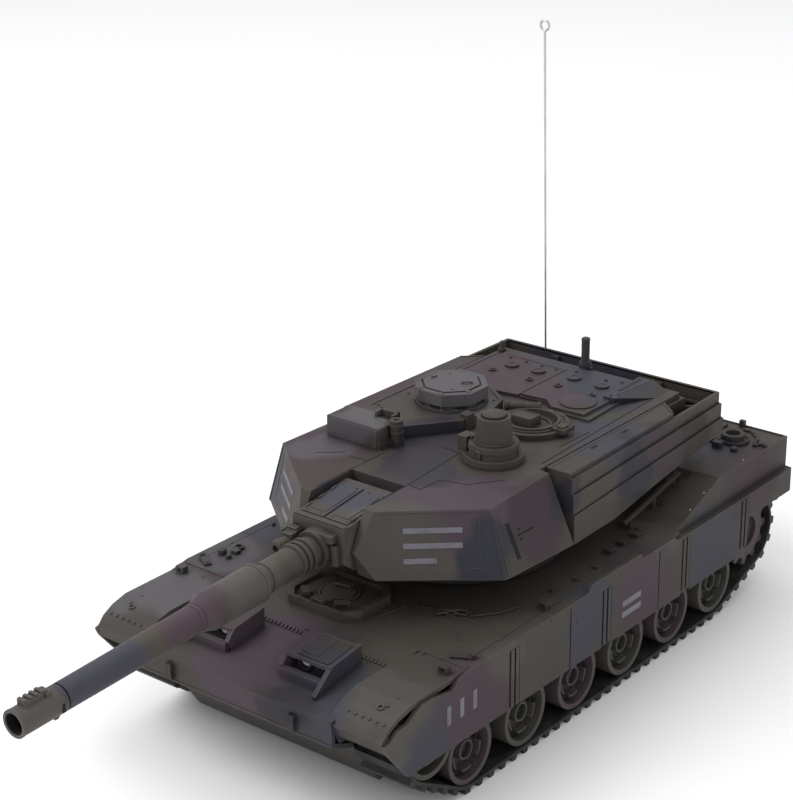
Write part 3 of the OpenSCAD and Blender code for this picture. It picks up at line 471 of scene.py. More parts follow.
class Form:
    """Collects closed solids in millimetres, most of them sunk 0.2 into a surface, for one piece."""

    def __init__(self):
        self.bm = bmesh.new()

    def loft(self, rings, m=None, closed=False):
        """A closed skin over rings of points; the ends are capped unless closed joins last to first."""
        m = m or Matrix.Identity(4)
        made = [[self.bm.verts.new(m @ Vector(p)) for p in ring] for ring in rings]
        count = len(made[0])
        pairs = list(zip(made, made[1:] + ([made[0]] if closed else [])))
        for low, high in pairs:
            for i in range(count):
                j = (i + 1) % count
                self.bm.faces.new((low[i], low[j], high[j], high[i]))
        if not closed:
            self.bm.faces.new(list(reversed(made[0])))
            self.bm.faces.new(made[-1])

    def prism(self, outline, z0, z1, m=None):
        """An outline in the XY plane, raised from z0 to z1."""
        self.loft([[(x, y, z) for x, y in outline] for z in (z0, z1)], m)

    def box(self, a, b, m=None):
        """A block between two opposite corners."""
        self.prism([(a[0], a[1]), (b[0], a[1]), (b[0], b[1]), (a[0], b[1])], a[2], b[2], m)

    def lathe(self, profile, m, sides):
        """A turned solid: profile is (radius, height) pairs from bottom to top."""
        angles = turns(sides)
        rings = [[(r * math.cos(a), r * math.sin(a), z) for a in angles] for r, z in profile]
        self.loft(rings, m)

    def ring(self, r_in, r_out, z0, z1, m, sides):
        """A flat ring round Z."""
        profile = [(r_in, z0), (r_out, z0), (r_out, z1), (r_in, z1)]
        rings = [[(r * math.cos(a), r * math.sin(a), z) for r, z in profile] for a in turns(sides)]
        self.loft(rings, m, closed=True)

    def bolt(self, m, r=0.7, h=0.5):
        """A six-sided bolt head on the local XY plane."""
        self.lathe([(r, -0.2), (r, h * 0.7), (r * 0.72, h)], m, 6)

    def tube(self, points, r, sides, m=None):
        """A round bar along points."""
        points = [Vector(p) for p in points]
        angles = turns(sides)
        rings = []
        side = None
        for i, p in enumerate(points):
            ahead = (points[min(i + 1, len(points) - 1)] - points[max(i - 1, 0)]).normalized()
            side = side or ahead.orthogonal()
            side = (side - ahead * side.dot(ahead)).normalized()
            other = ahead.cross(side)
            rings.append([p + side * (r * math.cos(a)) + other * (r * math.sin(a)) for a in angles])
        self.loft(rings, m)

    def strip(self, points, width, height, m=None):
        """A low flat-topped line along points on the local XY plane, sunk a little into it."""
        for a, b in zip(points, points[1:]):
            a, b = Vector((*a[:2], 0)), Vector((*b[:2], 0))
            along = (b - a).normalized()
            out = Vector((-along.y, along.x, 0)) * (width / 2)
            a, b = a - along * width * 0.4, b + along * width * 0.4
            outline = [a - out, b - out, b + out, a + out]
            self.prism([(p.x, p.y) for p in outline], -0.12, height, m)

    def done(self, name, body, slot, material, edge=0.12):
        """Makes the piece on its body; edge is the width of its softened edges."""
        bmesh.ops.recalc_face_normals(self.bm, faces=self.bm.faces)
        bmesh.ops.scale(self.bm, vec=(MM, MM, MM), verts=self.bm.verts)
        mesh = bpy.data.meshes.new(name)
        self.bm.to_mesh(mesh)
        self.bm.free()
        mesh.polygons.foreach_set("use_smooth", [True] * len(mesh.polygons))
        mesh.set_sharp_from_angle(angle=SHARP_ANGLE)
        mesh.materials.append(material)
        obj = link(name, mesh)
        if edge:
            soften(obj, edge)
        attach(obj, body)

    def recess(self, name, body):
        """The same for a near-black piece: painted shade in a gap, slot or hollow, or dark glass."""
        self.done(name, body, "dark_moulding", RECESS, 0.0)

    def fitting(self, name, body, edge=0.08):
        """The same for small parts in the darker spray."""
        self.done(name, body, "dark_moulding", SPRAYED_DARK, edge)


# ---------- hull ----------

# Heights of the flat decks, and the slopes that lead up to them
DECK = 55.8
ENGINE_DECK = 68.2
FENDER = 55.3
NOSE_Y, NOSE_TOP, GLACIS_END = -96.0, 47.8, -45.0
GLACIS_SLOPE = (DECK - NOSE_TOP) / (GLACIS_END - NOSE_Y)
GLACIS = place((0, NOSE_Y, NOSE_TOP), (0, -GLACIS_SLOPE, 1))
RAMP_Y, CREST_Y = 105.0, 139.0
RAMP_SLOPE = (ENGINE_DECK - DECK) / (CREST_Y - RAMP_Y)
# Half width of the nose, the outer face of the skirts, and the rear plate's face
NOSE_HALF, SKIRT_X, BACK_Y = 49.6, 75, 199.6
# The filler cap's middle
CAP = place((54.2, 180.6, ENGINE_DECK))


def on_glacis(x, y, turn=0):
    """A frame on the sloping front plate, turned about its normal."""
    z = NOSE_TOP + (y - NOSE_Y) * GLACIS_SLOPE
    return place((x, y, z), (0, -GLACIS_SLOPE, 1), (math.cos(turn), math.sin(turn), 0))


def on_ramp(x, y):
    """A frame on the slope up to the engine deck."""
    return place((x, y, DECK + (y - RAMP_Y) * RAMP_SLOPE), (0, -RAMP_SLOPE, 1))


def glacis_details():
    beads = Form()
    for k in range(35):
        beads.box((-0.45, -1.1, -0.2), (0.45, 1.1, 0.5), on_glacis(-18 + k * 1.9, -59.0, 0.18))
    for k in range(9):
        beads.box((-0.35, -0.7, -0.2), (0.35, 0.7, 0.4), on_glacis(3 + k * 1.5, -56.2, 0.3))
    beads.done("glacis_beads", "hull", "hull_olive", SPRAYED, 0.08)

    lines = Form()
    flat = place((0, 0, DECK))
    lines.strip([(41, -59), (50, -60.5), (53, -56), (53, -46)], 0.5, 0.22, on_glacis(0, 0))
    lines.strip([(-14, -43), (2, -44.6), (15, -43.5), (21, -34), (24, -20)], 0.6, 0.3, flat)
    lines.strip([(15, -43.5), (13, -44.6)], 0.6, 0.3, flat)
    lines.strip([(26, -16), (46, -16), (58, -30)], 0.5, 0.25, flat)
    lines.done("deck_ridges", "hull", "hull_olive", SPRAYED, 0.0)


def fender_details():
    gaps = Form()
    fender = place((0, 0, FENDER), (0, -0.018, 1))
    for s in (-1, 1):
        gaps.strip([(s * 50.3, 0.6), (s * 50.3, 51)], 0.35, 0.03, GLACIS)
        gaps.strip([(s * 52, -70.6), (s * 71, -70.6)], 0.35, 0.03, fender)
    gaps.recess("fender_gaps", "hull")

    bolts = Form()
    front, nose = (0, -3.0, 5.5), (0, -0.25, 1)
    for s in (-1, 1):
        for k in range(6):
            bolts.bolt(place((s * (53.5 + k * 3.3), -90.2, 51.4), front), 0.6, 0.55)
        for y, z in ((-83, 54.6), (-77, 55.2)):
            bolts.bolt(place((s * 66, y, z), nose), 0.6, 0.4)
        bolts.ring(0.9, 1.5, -0.2, 0.5, place((s * 64, -84.6, 53.9), nose), 14)
        spots = ((58, -50, FENDER), (70, -50, FENDER), (70, -20, DECK), (70, 20, DECK), (60, 30, DECK))
        for x, y, z in spots:
            bolts.bolt(place((s * x, y, z)), 0.55, 0.4)
    bolts.done("front_bolts", "hull", "hull_olive", SPRAYED, 0.0)

    lip = Form()
    for low, high in ((45.9, 47.6), (37.1, 38.0)):
        lip.box((-NOSE_HALF, NOSE_Y - 0.3, low), (NOSE_HALF, NOSE_Y + 0.3, high))
    lip.done("nose_lip", "hull", "hull_olive", SPRAYED, 0.1)

    hinges = Form()
    for s in (-1, 1):
        m = place((s * 67, -39.5, DECK), UP, (s, 0.55, 0))
        hinges.box((-4.6, -1.5, -0.2), (3.4, 1.5, 1.1), m)
        hinges.box((-3.6, -0.9, 1.0), (2.4, 0.9, 1.5), m)
        hinges.lathe([(1.3, -0.2), (1.3, 1.9), (0.9, 2.2)], place((s * 70.4, -37.4, DECK)), 12)
    hinges.fitting("skirt_hinges", "hull", 0.12)


def lamp_details():
    trim, dark = Form(), Form()
    for s in (-1, 1):
        face = place((s * 21, -76, 54.6), (0, -1, 0))
        trim.ring(2.7, 3.5, -0.3, 1.3, face, 26)
        roof = place((s * 27, -71.5, 59.5), (0, -0.13, 1))
        trim.box((-8, -7.4, -0.2), (7.4, 7.0, 0.5), roof)
        trim.box((-6.4, -5.6, 0.4), (0.6, 5.4, 0.9), roof)
        for x, y in ((-7, -6.4), (6.4, -6.4), (6.4, 6.0), (-7, 6.0), (3.4, 0)):
            trim.bolt(shifted(roof, x, y, 0.5), 0.5, 0.4)
        marker = place((s * 29.5, -77.2, 54.8))
        trim.box((-2.2, 0, -1.6), (2.2, 1.8, 1.6), marker)
        dark.box((-1.5, -0.3, -1.0), (1.5, 0.2, 1.0), marker)
        for z in (52.6, 57.4):
            trim.bolt(place((s * 36.5, -66, z), (s, 0, 0)), 0.6, 0.4)
    trim.fitting("lamp_box_details", "hull", 0.12)
    dark.recess("lamp_box_recesses", "hull")


def hatch_details():
    """A rim and a grip on the driver's lid, three periscopes in front and bolts round it."""
    form, dark = Form(), Form()
    cx, cy = -1, -31
    lid = place((cx, cy, DECK + 2.4))
    form.ring(7.6, 8.6, -0.2, 0.9, lid, 30)
    form.tube([(-4, 2, 1.0), (-4, 2, 2.4), (3, 3.4, 2.4), (3, 3.4, 1.0)], 0.45, 8, lid)
    for a in (-0.7, 0.0, 0.7):
        at = (cx + 14.6 * math.sin(a), cy - 12.6 * math.cos(a), DECK + 3.2)
        m = place(at, UP, (math.cos(a), math.sin(a), 0))
        form.box((-3.0, -1.5, -0.4), (3.0, 1.4, 2.2), m)
        dark.box((-2.3, -1.62, 0.3), (2.3, -1.4, 1.7), m)
    for x, y in around(cx, cy, 10.2, 8, EIGHTH, 0.4):
        form.bolt(place((x, y, DECK + 2.4)), 0.5)
    form.done("driver_hatch_details", "hull", "hull_olive", SPRAYED)
    dark.recess("driver_periscopes", "hull")


def left_deck_details():
    """A ribbed strip, a knotted cable with its loose end, and small blocks."""
    form = Form()
    for k in range(9):
        m = place((26 + k * 1.15, -17 + k * 0.4, DECK), UP, (1, 0.45, 0))
        form.box((-0.35, -1.3, -0.2), (0.35, 1.3, 0.7), m)
    knot = place((42, -14, DECK), UP, (0.8, 0.6, 0))
    form.ring(1.8, 2.8, -0.2, 1.1, knot, 18)
    form.tube([(-6, -2, 0.6), (-2, -0.8, 1.1), (2, 0.8, 1.3), (6.5, 1.2, 0.6)], 0.55, 8, knot)
    form.tube([(-5, 2, 0.6), (-1, 1.0, 1.2), (3, -1.6, 0.7), (6, -2.4, 0.6)], 0.45, 8, knot)
    form.box((5.6, -1.0, -0.2), (8.2, 2.2, 1.1), knot)
    form.tube([(50, -12, 0.5), (57, -3, 0.5), (60, 6, 0.5)], 0.4, 8, place((0, 0, DECK)))
    for x, y in ((64, 40), (64, 54), (62, 26), (58.4, 95.5)):
        form.box((-1.2, -0.8, -0.2), (1.2, 0.8, 1.0), place((x, y, DECK)))
    form.fitting("deck_fittings_left", "hull")


def right_deck_details():
    """Eyes, knobs and a tied-down bar on the side that the photo hides."""
    far = Form()
    eye = place((-64, -22, DECK), UP, (0.9, -0.3, 0))
    far.ring(1.4, 2.3, -0.2, 1.4, eye, 18)
    far.lathe([(1.9, -0.2), (1.9, 2.2), (1.2, 2.8)], place((-66, -30, DECK)), 14)
    far.lathe([(1.2, -0.2), (1.2, 1.6), (0.8, 2.0)], place((-61, -31.5, DECK)), 12)
    far.box((-1.5, -1.5, -0.2), (1.5, 1.5, 1.6), place((-62, -26, DECK)))
    for y in (4, 9, 40, 60, 80):
        far.lathe([(0.8, -0.2), (0.8, 1.0), (0.5, 1.3)], place((-68, y, DECK)), 10)
    far.tube([(-60, 62, 0.9), (-60, 96, 0.9)], 0.9, 10, place((0, 0, DECK)))
    for y in (66, 90):
        far.box((-1.5, -0.8, -0.2), (1.5, 0.8, 2.1), place((-60, y, DECK)))
    far.fitting("deck_fittings_right", "hull")


def ramp_details():
    ramp = Form()
    for x, y in ((56.4, 116.9), (57.0, 128.7), (58.0, 136.4)):
        m = on_ramp(x, y)
        ramp.ring(0.7, 1.4, -0.2, 0.8, m, 14)
        ramp.box((-0.5, 1.0, -0.2), (0.5, 2.6, 0.7), m)
    for x, y in ((-64, 112), (-66, 122), (-62, 132)):
        ramp.ring(0.7, 1.4, -0.2, 0.8, on_ramp(x, y), 14)
    ramp.fitting("ramp_fittings", "hull", 0.0)


def rear_deck_details():
    """The filler cap's rims, bolts and chain, and the small fittings near it."""
    rear = Form()
    deck = place((0, 0, ENGINE_DECK))
    rear.ring(6.1, 6.8, 0.8, 1.4, place((55.2, 180, ENGINE_DECK)), 32)
    for x, y in around(55.2, 180, 6.4, 8, EIGHTH):
        rear.bolt(place((x, y, ENGINE_DECK + 1.3)), 0.4, 0.4)
    rear.ring(4.7, 5.4, 2.2, 3.0, CAP, 28)
    chain = [(52.2, 193.2), (56.9, 193.5), (63.2, 187.6), (65.2, 179.5), (68.5, 184.1), (70.2, 181.6)]
    rear.tube([(x, y, 0.6) for x, y in chain], 0.5, 8, deck)
    for a, b in zip(chain, chain[1:]):
        for t in (0.2, 0.6):
            x, y = (u + (v - u) * t for u, v in zip(a, b))
            rear.ring(0.4, 0.95, -0.1, 0.8, place((x, y, ENGINE_DECK + 0.3)), 12)
    rear.box((44.6, 172.4, -0.2), (50.6, 176.8, 1.7), deck)
    rear.box((45.6, 173.2, 1.5), (49.4, 176.0, 2.0), deck)
    rear.lathe([(1.6, -0.2), (1.6, 1.4), (1.0, 1.9)], place((61, 170, ENGINE_DECK)), 14)
    rear.box((48.4, 196.2, -0.2), (51, 198.2, 3.2), deck)
    rear.strip([(-69.5, 198.6), (69.5, 198.6)], 0.8, 0.5, deck)
    rear.fitting("rear_deck_details", "hull")


def deck_marks():
    """Seams between the deck plates, and three specks where paint has come off."""
    gaps = Form()
    deck = place((0, 0, ENGINE_DECK))
    for s in (-1, 1):
        gaps.strip([(s * 69.6, -41), (s * 69.6, 33)], 0.3, 0.03, place((0, 0, DECK)))
        gaps.strip([(s * 60.8, 139.4), (s * 70.4, 139.4)], 0.45, 0.04, deck)
    gaps.strip([(-38, 157.5), (40, 157.5)], 0.35, 0.03, deck)
    gaps.lathe([(3.3, 1.5), (3.3, 1.68)], CAP, 24)
    gaps.recess("deck_gaps", "hull")
    chips = Form()
    for m in (on_ramp(70.2, 118), on_ramp(70.2, 129), place((69.6, 163.5, ENGINE_DECK))):
        chips.box((-0.3, -0.3, -0.1), (0.3, 0.3, 0.05), m)
    chips.done("paint_chips", "hull", "lamp_white", CHIP, 0.0)


def skirt_details():
    for side, s in SIDES:
        wall = place((s * SKIRT_X, 0, 0), (s, 0, 0), (0, s, 0))
        form = Form()
        for y, z in ((8, 54.0), (26, 46), (92, 46), (-32, 47)):
            form.bolt(shifted(wall, s * y, z, -0.4), 0.8, 0.3)
        form.done(f"skirt_bolts_{side}", "hull", "hull_plum", SPRAYED, 0.0)
        gaps = Form()
        for y in (21.3, 87.1):
            gaps.box((s * y - 0.36, 27, -1.0), (s * y + 0.36, 53.5, -0.82), wall)
        for y, low in ((-16.6, 27.9), (47.4, 27.9), (108.7, 27.9), (158.4, 29.2)):
            for dy in (-3.1, 0.0, 3.1):
                u = s * (y + dy)
                gaps.box((u - 0.42, low, -1.1), (u + 0.42, 52.2, -0.92), wall)
        gaps.recess(f"skirt_gaps_{side}", "hull")
        marks = Form()
        for y in (-58, -50, -42):
            marks.box((s * y - 1.2, 38, -0.4), (s * y + 1.2, 46, -0.2), wall)
        for low, high in ((34, 36.6), (39, 41.6)):
            marks.box((s * 66 - 7, low, -0.4), (s * 66 + 7, high, -0.2), wall)
        marks.done(f"skirt_marks_{side}", "hull", "hull_plum", MARK, 0.0)


# ---------- turret ----------

# The flat roof, and the cheeks' top edge where its front part starts to slope down
ROOF, ROOF_END_Y = 101.4, 37.0
CHEEK_TOP_Y, CHEEK_TOP_Z = -32.3, 99.8
ROOF_SLOPE = (ROOF - CHEEK_TOP_Z) / (ROOF_END_Y - CHEEK_TOP_Y)
ROOF_FRONT = place((0, CHEEK_TOP_Y, CHEEK_TOP_Z), (0, -ROOF_SLOPE, 1))

# Corners of the left cheek and of the flank behind it; the other side is a mirror image
CHEEK_TOP_IN = Vector((18.4, CHEEK_TOP_Y, CHEEK_TOP_Z))
CHEEK_TOP_OUT, CHEEK_LOW_OUT = Vector((53.7, -3.5, 100.5)), Vector((62.1, -4.3, 73.1))
SIDE_TOP, SIDE_LOW = Vector((47.3, ROOF_END_Y, ROOF)), Vector((64.7, 35.8, 73.1))


def face_frame(origin, along, third, s):
    """Local X runs from the origin to the next corner, Y away from the third one, and Z outwards."""
    o, a, t = (Vector((p.x * s, p.y, p.z)) for p in (origin, along, third))
    x = (a - o).normalized()
    z = x.cross(t - o).normalized()
    if z.x * s < 0:
        z = -z
    y = ((o - t) - x * (o - t).dot(x)).normalized()
    return axes_at(x, y, z, o)


def turret_details():
    for side, s in SIDES:
        cheek = face_frame(CHEEK_TOP_IN, CHEEK_TOP_OUT, CHEEK_LOW_OUT, s)
        lower = face_frame(CHEEK_LOW_OUT, SIDE_LOW, CHEEK_TOP_OUT, s)
        upper = face_frame(CHEEK_TOP_OUT, SIDE_TOP, SIDE_LOW, s)
        form = Form()
        form.strip([(0.5, -0.5), (44.8, -0.5)], 0.9, 0.28, cheek)
        form.strip([(45.2, -0.8), (50.2, -27.6)], 1.5, 0.3, cheek)
        form.strip([(1.4, -23.4), (44, -23.4)], 0.35, 0.16, cheek)
        form.strip([(40.6, -3.4), (40.6, -22)], 0.5, 0.2, cheek)
        form.strip([(0.8, -27.4), (0.9, -1.0)], 0.8, 0.22, lower)
        form.strip([(1.0, -1.0), (39.6, -0.8)], 0.6, 0.22, upper)
        form.done(f"cheek_edges_{side}", "turret", "hull_olive", SPRAYED, 0.06)
        dark = Form()
        dark.prism([(5.2, -20.8), (7.4, -20.5), (10.0, -5.0), (7.7, -5.4)], -0.1, 0.06, lower)
        dark.strip([(11.0, -14.2), (19.3, -14.3)], 0.7, 0.06, lower)
        dark.strip([(17.5, -16.3), (28.0, -17.4)], 0.7, 0.06, upper)
        ends = ((lower, 12.4, -12.2), (lower, 12.2, -16.4), (upper, 27.2, -15.2), (upper, 27.6, -19.6))
        for face, u, v in ends:
            dark.box((u - 0.5, v - 0.5, -0.1), (u + 0.5, v + 0.5, 0.06), face)
        dark.recess(f"cheek_slots_{side}", "turret")
        marks = Form()
        for u, v in ((34, -8), (34, -14), (24, -20)):
            marks.box((11, v - 1.1, -0.2), (u, v + 1.1, 0.3), cheek)
        marks.done(f"cheek_marks_{side}", "turret", "hull_olive", MARK, 0.0)


def roof_lines():
    """Seams of the roof plates, first on its sloping front and then on the flat part."""
    gaps = Form()
    for points in (
        [(-14.0, -6), (-13.2, 12.6)],
        [(13.9, -28), (14.0, -6), (12.0, 31)],
        [(14.2, -5.2), (20.6, -6.2), (21.6, 5.6), (33, 8.4), (42, 20)],
        [(-14.2, -28), (-14.0, -6)],
        [(-22.6, 2.4), (-13.8, 2.6)],
        [(2.3, 31.4), (12.0, 31.0)],
        [(-36, -3), (-27, 4)],
    ):
        gaps.strip([on_roof_front(x, y) for x, y in points], 0.6, 0.07, ROOF_FRONT)
    flat = place((0, 0, ROOF))
    for points in (
        [(-46.6, 45), (-46.6, 79), (-43, 96)],
        [(45, 42), (42, 130)],
        [(40.8, 61), (41.5, 81.4)],
        [(-45, 100), (-45, 134)],
    ):
        gaps.strip(points, 0.6, 0.06, flat)
    gaps.recess("roof_gaps", "turret")


def on_roof_front(x, y):
    """A point of the roof's sloping front, in that plane's own frame."""
    z = CHEEK_TOP_Z + (y - CHEEK_TOP_Y) * ROOF_SLOPE
    return (ROOF_FRONT.inverted() @ Vector((x, y, z)))[:2]


def rack_details():
    form, dark = Form(), Form()
    for s in (-1, 1):
        # Painted shade: thin dark lines under the ledges of the rack's outer walls
        for high, x1, x2, low in ((91.95, 60.45, 57.85, 94.05), (83.05, 61.25, 59.25, 87.55)):
            dark.tube([(s * x1, 41.6, high), (s * x2, 159.8, low)], 0.22, 6)
        lid = place((0, 0, 101.0))
        form.strip([(s * 49.4, 43), (s * 48.6, 127.6)], 0.5, 0.2, lid)
        for x, y in ((51.4, 70), (52.2, 92)):
            dark.box((s * x - 0.8, y - 2.2, -0.1), (s * x + 0.8, y + 2.2, 0.05), lid)
        dark.strip([(s * 59.35, 43), (s * 57.7, 120)], 0.3, 0.05, place((0, 0, 98.9)))
        form.strip([(s * 56.6, 122.0), (s * 48.4, 129.0)], 0.9, 0.3, lid)
        form.tube([(s * 48, 146, 94), (s * 55.8, 151, 94)], 0.8, 8)
        form.lathe([(1.3, -1.5), (1.3, 15.0), (0.8, 16.0)], place((s * 47.0, 146.2, 82.0)), 12)
    form.box((-57.0, 158.4, 98.0), (57.0, 160.0, 99.0))
    form.box((-56.0, 157.0, 91.6), (56.0, 158.5, 92.9))
    for x in (28, -28):
        form.box((x - 1.6, 156.6, 83.0), (x + 1.6, 158.5, 97.4))
    for x in range(-52, 53, 13):
        form.box((x - 0.6, 159.2, 81.4), (x + 0.6, 160.0, 98.4))
    form.done("rack_details", "turret", "hull_plum", SPRAYED, 0.1)
    # Painted shade: near-black sheets on the rack's inner back wall below the rail, and on its floor
    dark.box((-55.6, 158.2, 83.0), (55.6, 158.46, 91.6))
    dark.box((-55.6, 145.2, 81.8), (55.6, 158.3, 82.1))
    dark.recess("rack_recesses", "turret")
    mesh = Form()
    for k in range(24):
        mesh.box((-53.0 + k * 4.6, 145.2, 82.0), (-52.4 + k * 4.6, 158.2, 82.5))
    for y in (147, 150, 153, 156):
        mesh.box((-54.4, y - 0.3, 82.0), (54.4, y + 0.3, 82.6))
    mesh.fitting("rack_floor_mesh", "turret", 0.0)


def cupola_details():
    """A bolted ring, windows, a grip on the lid, and bolts on the plate below."""
    cx, cy = -18.5, 65.0
    top = place((cx, cy, ROOF + 13.7))
    form, dark = Form(), Form()
    form.ring(13.9, 15.4, 4.6, 6.2, place((cx, cy, ROOF)), 44)
    for x, y in around(cx, cy, 15.0, 16, math.tau / 16):
        form.bolt(place((x, y, ROOF + 6.1)), 0.6, 0.6)
    form.box((-10.2, -0.9, -0.2), (-8.6, 0.9, 0.7), top)
    form.tube([(5.4, 0.4, -0.2), (5.4, 0.4, 0.9), (8.6, 3.0, 0.9), (8.6, 3.0, -0.2)], 0.45, 8, top)
    for a in (0.4, 2.3, 3.4, 5.4):
        form.bolt(shifted(top, 9.2 * math.cos(a), 9.2 * math.sin(a)), 0.45, 0.4)
    for x, y in ((-6.0, 60.3), (-13.6, 51.3), (-25.0, 51.2)):
        form.box((-1.0, -0.7, -0.2), (1.0, 0.7, 0.35), place((x, y, ROOF + 13.4)))
    for k in range(8):
        a = k * math.tau / 8 + 0.12
        out = Vector((math.cos(a), math.sin(a), 0))
        m = place(Vector((cx, cy, ROOF + 6.9)) + out * 14.4, out, UP)
        dark.box((-0.5, -2.4, -0.2), (0.5, 2.4, 0.12), m)
    plate = place((0, 0, ROOF + 5))
    for x, y in (
        (-40, 42), (-38, 60), (-40, 74), (-30, 86), (-17, 88),
        (-4, 76), (-1, 62), (-20, 31), (-36, 31),
    ):
        form.bolt(shifted(plate, x, y), 0.6, 0.5)
    form.strip([(-42.6, 41), (-42.6, 73), (-33.4, 86.6), (-16.6, 88.4), (-3.6, 79)], 0.6, 0.3, plate)
    form.done("cupola_details", "turret", "hull_olive", SPRAYED, 0.08)
    dark.recess("cupola_windows", "turret")


def sight_details():
    """The round sight on the left, then the box sight on the right with its hood and tube."""
    form, dark = Form(), Form()
    cx, cy = 26.3, 34.7
    base = place((cx, cy, ROOF))
    form.ring(11.6, 12.9, -0.6, 1.4, base, 44)
    form.ring(9.6, 10.6, 5.4, 6.6, base, 40)
    form.ring(7.3, 8.2, 7.4, 8.6, base, 36)
    form.lathe([(4.9, 19.0), (4.9, 19.7), (4.2, 20.1)], base, 30)
    dark.ring(5.1, 5.4, 18.9, 18.98, base, 30)
    for k in range(6):
        a = k * SIXTH + 0.3
        at = (cx + 10.2 * math.cos(a), cy + 10.2 * math.sin(a), ROOF)
        form.box((-0.5, -0.4, 2.6), (0.5, 0.4, 6.6), place(at, UP, (-math.sin(a), math.cos(a), 0)))
    form.box((-13.8, -6.2, 2.2), (-9.2, -2.6, 9.0), base)
    form.box((-1.2, -11.0, 2.4), (1.2, -9.4, 6.4), base)

    form.box((-43.4, 12.6, 101.6), (-17.0, 13.4, 109.6))
    form.strip([(-43.4, 13.6), (-16.8, 13.6), (-16.8, 24.2)], 0.7, 0.3, place((0, 0, 110)))
    for x in (-27.2, -18.6):
        form.box((x, 24.0, 103.0), (x + 1.2, 28.6, 112.6))
    form.box((-27.2, 27.4, 103.0), (-17.4, 28.6, 112.6))
    dark.box((-26.0, 24.4, 110.0), (-18.6, 27.4, 110.12))
    tube = place((-14.2, 22.2, 104))
    form.ring(1.3, 2.75, -0.2, 8.3, tube, 24)
    form.ring(2.6, 3.1, 2.6, 3.4, tube, 24)
    form.ring(2.6, 3.0, 5.8, 6.4, tube, 24)
    dark.lathe([(1.28, 7.0), (1.28, 7.9)], tube, 20)
    for x in (-40, -34, -28, -22):
        form.bolt(place((x, 12.6, 103.4), (0, -1, 0)), 0.55, 0.4)
    form.box((-46.4, 16, 100.8), (-43.8, 22, 103.4))
    form.done("sight_details", "turret", "hull_olive", SPRAYED, 0.1)
    dark.recess("sight_recesses", "turret")


def hatch_ring_details():
    """Rims and bolts of the loader's ring, the tube that lies beside it and a curved rail."""
    cx, cy = 19.0, 71.5
    base = place((cx, cy, ROOF))
    form, dark = Form(), Form()
    form.ring(14.3, 15.9, 1.8, 2.6, base, 48)
    form.ring(11.0, 12.0, 2.8, 3.8, base, 44)
    form.ring(7.6, 8.6, 0.8, 1.8, base, 36)
    for x, y in around(cx, cy, 14.9, 14, FOURTEENTH, 0.1):
        form.bolt(place((x, y, ROOF + 2.5)), 0.45, 0.45)
    form.box((12.6, -3.4, 1.8), (18.6, 3.4, 3.9), base)
    form.box((14.0, -2.2, 3.8), (17.4, 2.2, 4.7), base)
    form.lathe([(0.8, 0.0), (0.8, 2.2), (0.5, 2.6)], shifted(base, 17.6, 4.6, 1.4), 12)
    heading = 0.487
    lying = place((cx - 18.4, cy + 6.2, ROOF + 3.4), (math.cos(heading), math.sin(heading), 0))
    for z0, z1 in ((0.2, 1.6), (7.0, 7.9), (14.0, 15.4)):
        form.ring(1.5, 2.25, z0, z1, lying, 20)
    dark.lathe([(1.45, 15.0), (1.45, 15.48)], lying, 18)
    lid = shifted(base, 0, 0, 5.0)
    form.strip([(-9.0, -4.1), (2.2, -4.1), (2.2, 2.8), (-9.0, 2.8), (-9.0, -4.1)], 0.5, 0.3, lid)
    form.tube([(-9, -9, 0.8), (-14, -7, 1.6), (-16, -1, 1.6), (-14, 5, 1.6), (-10, 9, 0.8)], 0.7, 8, base)
    form.done("hatch_ring_details", "turret", "hull_plum", SPRAYED, 0.08)
    dark.recess("hatch_ring_recess", "turret")


def roof_panel_details():
    """Discs, bolts and seams on the low panel to the right and the high one to the left."""
    form, dark = Form(), Form()
    low, high = place((0, 0, ROOF + 1.6)), place((0, 0, ROOF + 2.2))
    for m, x, y in ((low, -27.7, 122.1), (low, -13.8, 123.0), (high, 4.7, 124.2), (high, 19.9, 123.3)):
        disc = shifted(m, x, y)
        form.ring(2.0, 2.95, -0.2, 1.0, disc, 28)
        dark.ring(3.0, 3.3, -0.05, 0.05, disc, 28)
    for m, x, y in ((low, -31.6, 112.5), (low, -11.4, 112.6), (high, 3.9, 112.7), (high, 22, 112)):
        bolt = shifted(m, x, y)
        form.ring(0.9, 1.8, -0.2, 0.8, bolt, 18)
        form.lathe([(0.7, -0.2), (0.7, 1.3), (0.4, 1.5)], bolt, 8)
    for x, y in ((-34.4, 130.1), (-25.5, 130.2), (-17.0, 130.2), (-9.3, 130.2)):
        form.bolt(shifted(low, x, y), 0.8, 0.7)
    for x, y in ((0.4, 132.2), (16.9, 131.1), (24, 133)):
        form.bolt(shifted(high, x, y), 0.8, 0.7)
    form.strip([(-38, 133.4), (-8, 132.4)], 0.5, 0.25, low)
    form.lathe([(8.0, -0.3), (8.0, 0.6), (7.6, 0.8)], shifted(high, 22, 101.8), 32)
    dark.strip([(-4.9, 96.2), (-5.4, 133)], 0.6, 0.05, place((0, 0, ROOF)))
    box = place((0, 0, ROOF + 3.5))
    for x, y in ((30.2, 114.6), (32.4, 117.4)):
        form.bolt(shifted(box, x, y), 0.7, 0.5)
    for k in range(9):
        form.box((29.0, 121 + k * 2.1, -0.2), (30.6, 122.3 + k * 2.1, 0.3), box)
    form.strip([(32.6, 120), (34.6, 140)], 0.5, 0.25, box)
    post = place((-0.4, 140.4, ROOF))
    form.ring(1.8, 2.5, 3.6, 4.8, post, 20)
    form.lathe([(1.98, 14.6), (1.98, 15.4), (1.5, 15.9)], post, 20)
    form.box((1.5, -0.9, 0.4), (3.6, 0.9, 2.6), post)
    form.done("roof_panel_details", "turret", "hull_plum", SPRAYED, 0.08)
    dark.recess("roof_panel_gaps", "turret")


# ---------- gun ----------

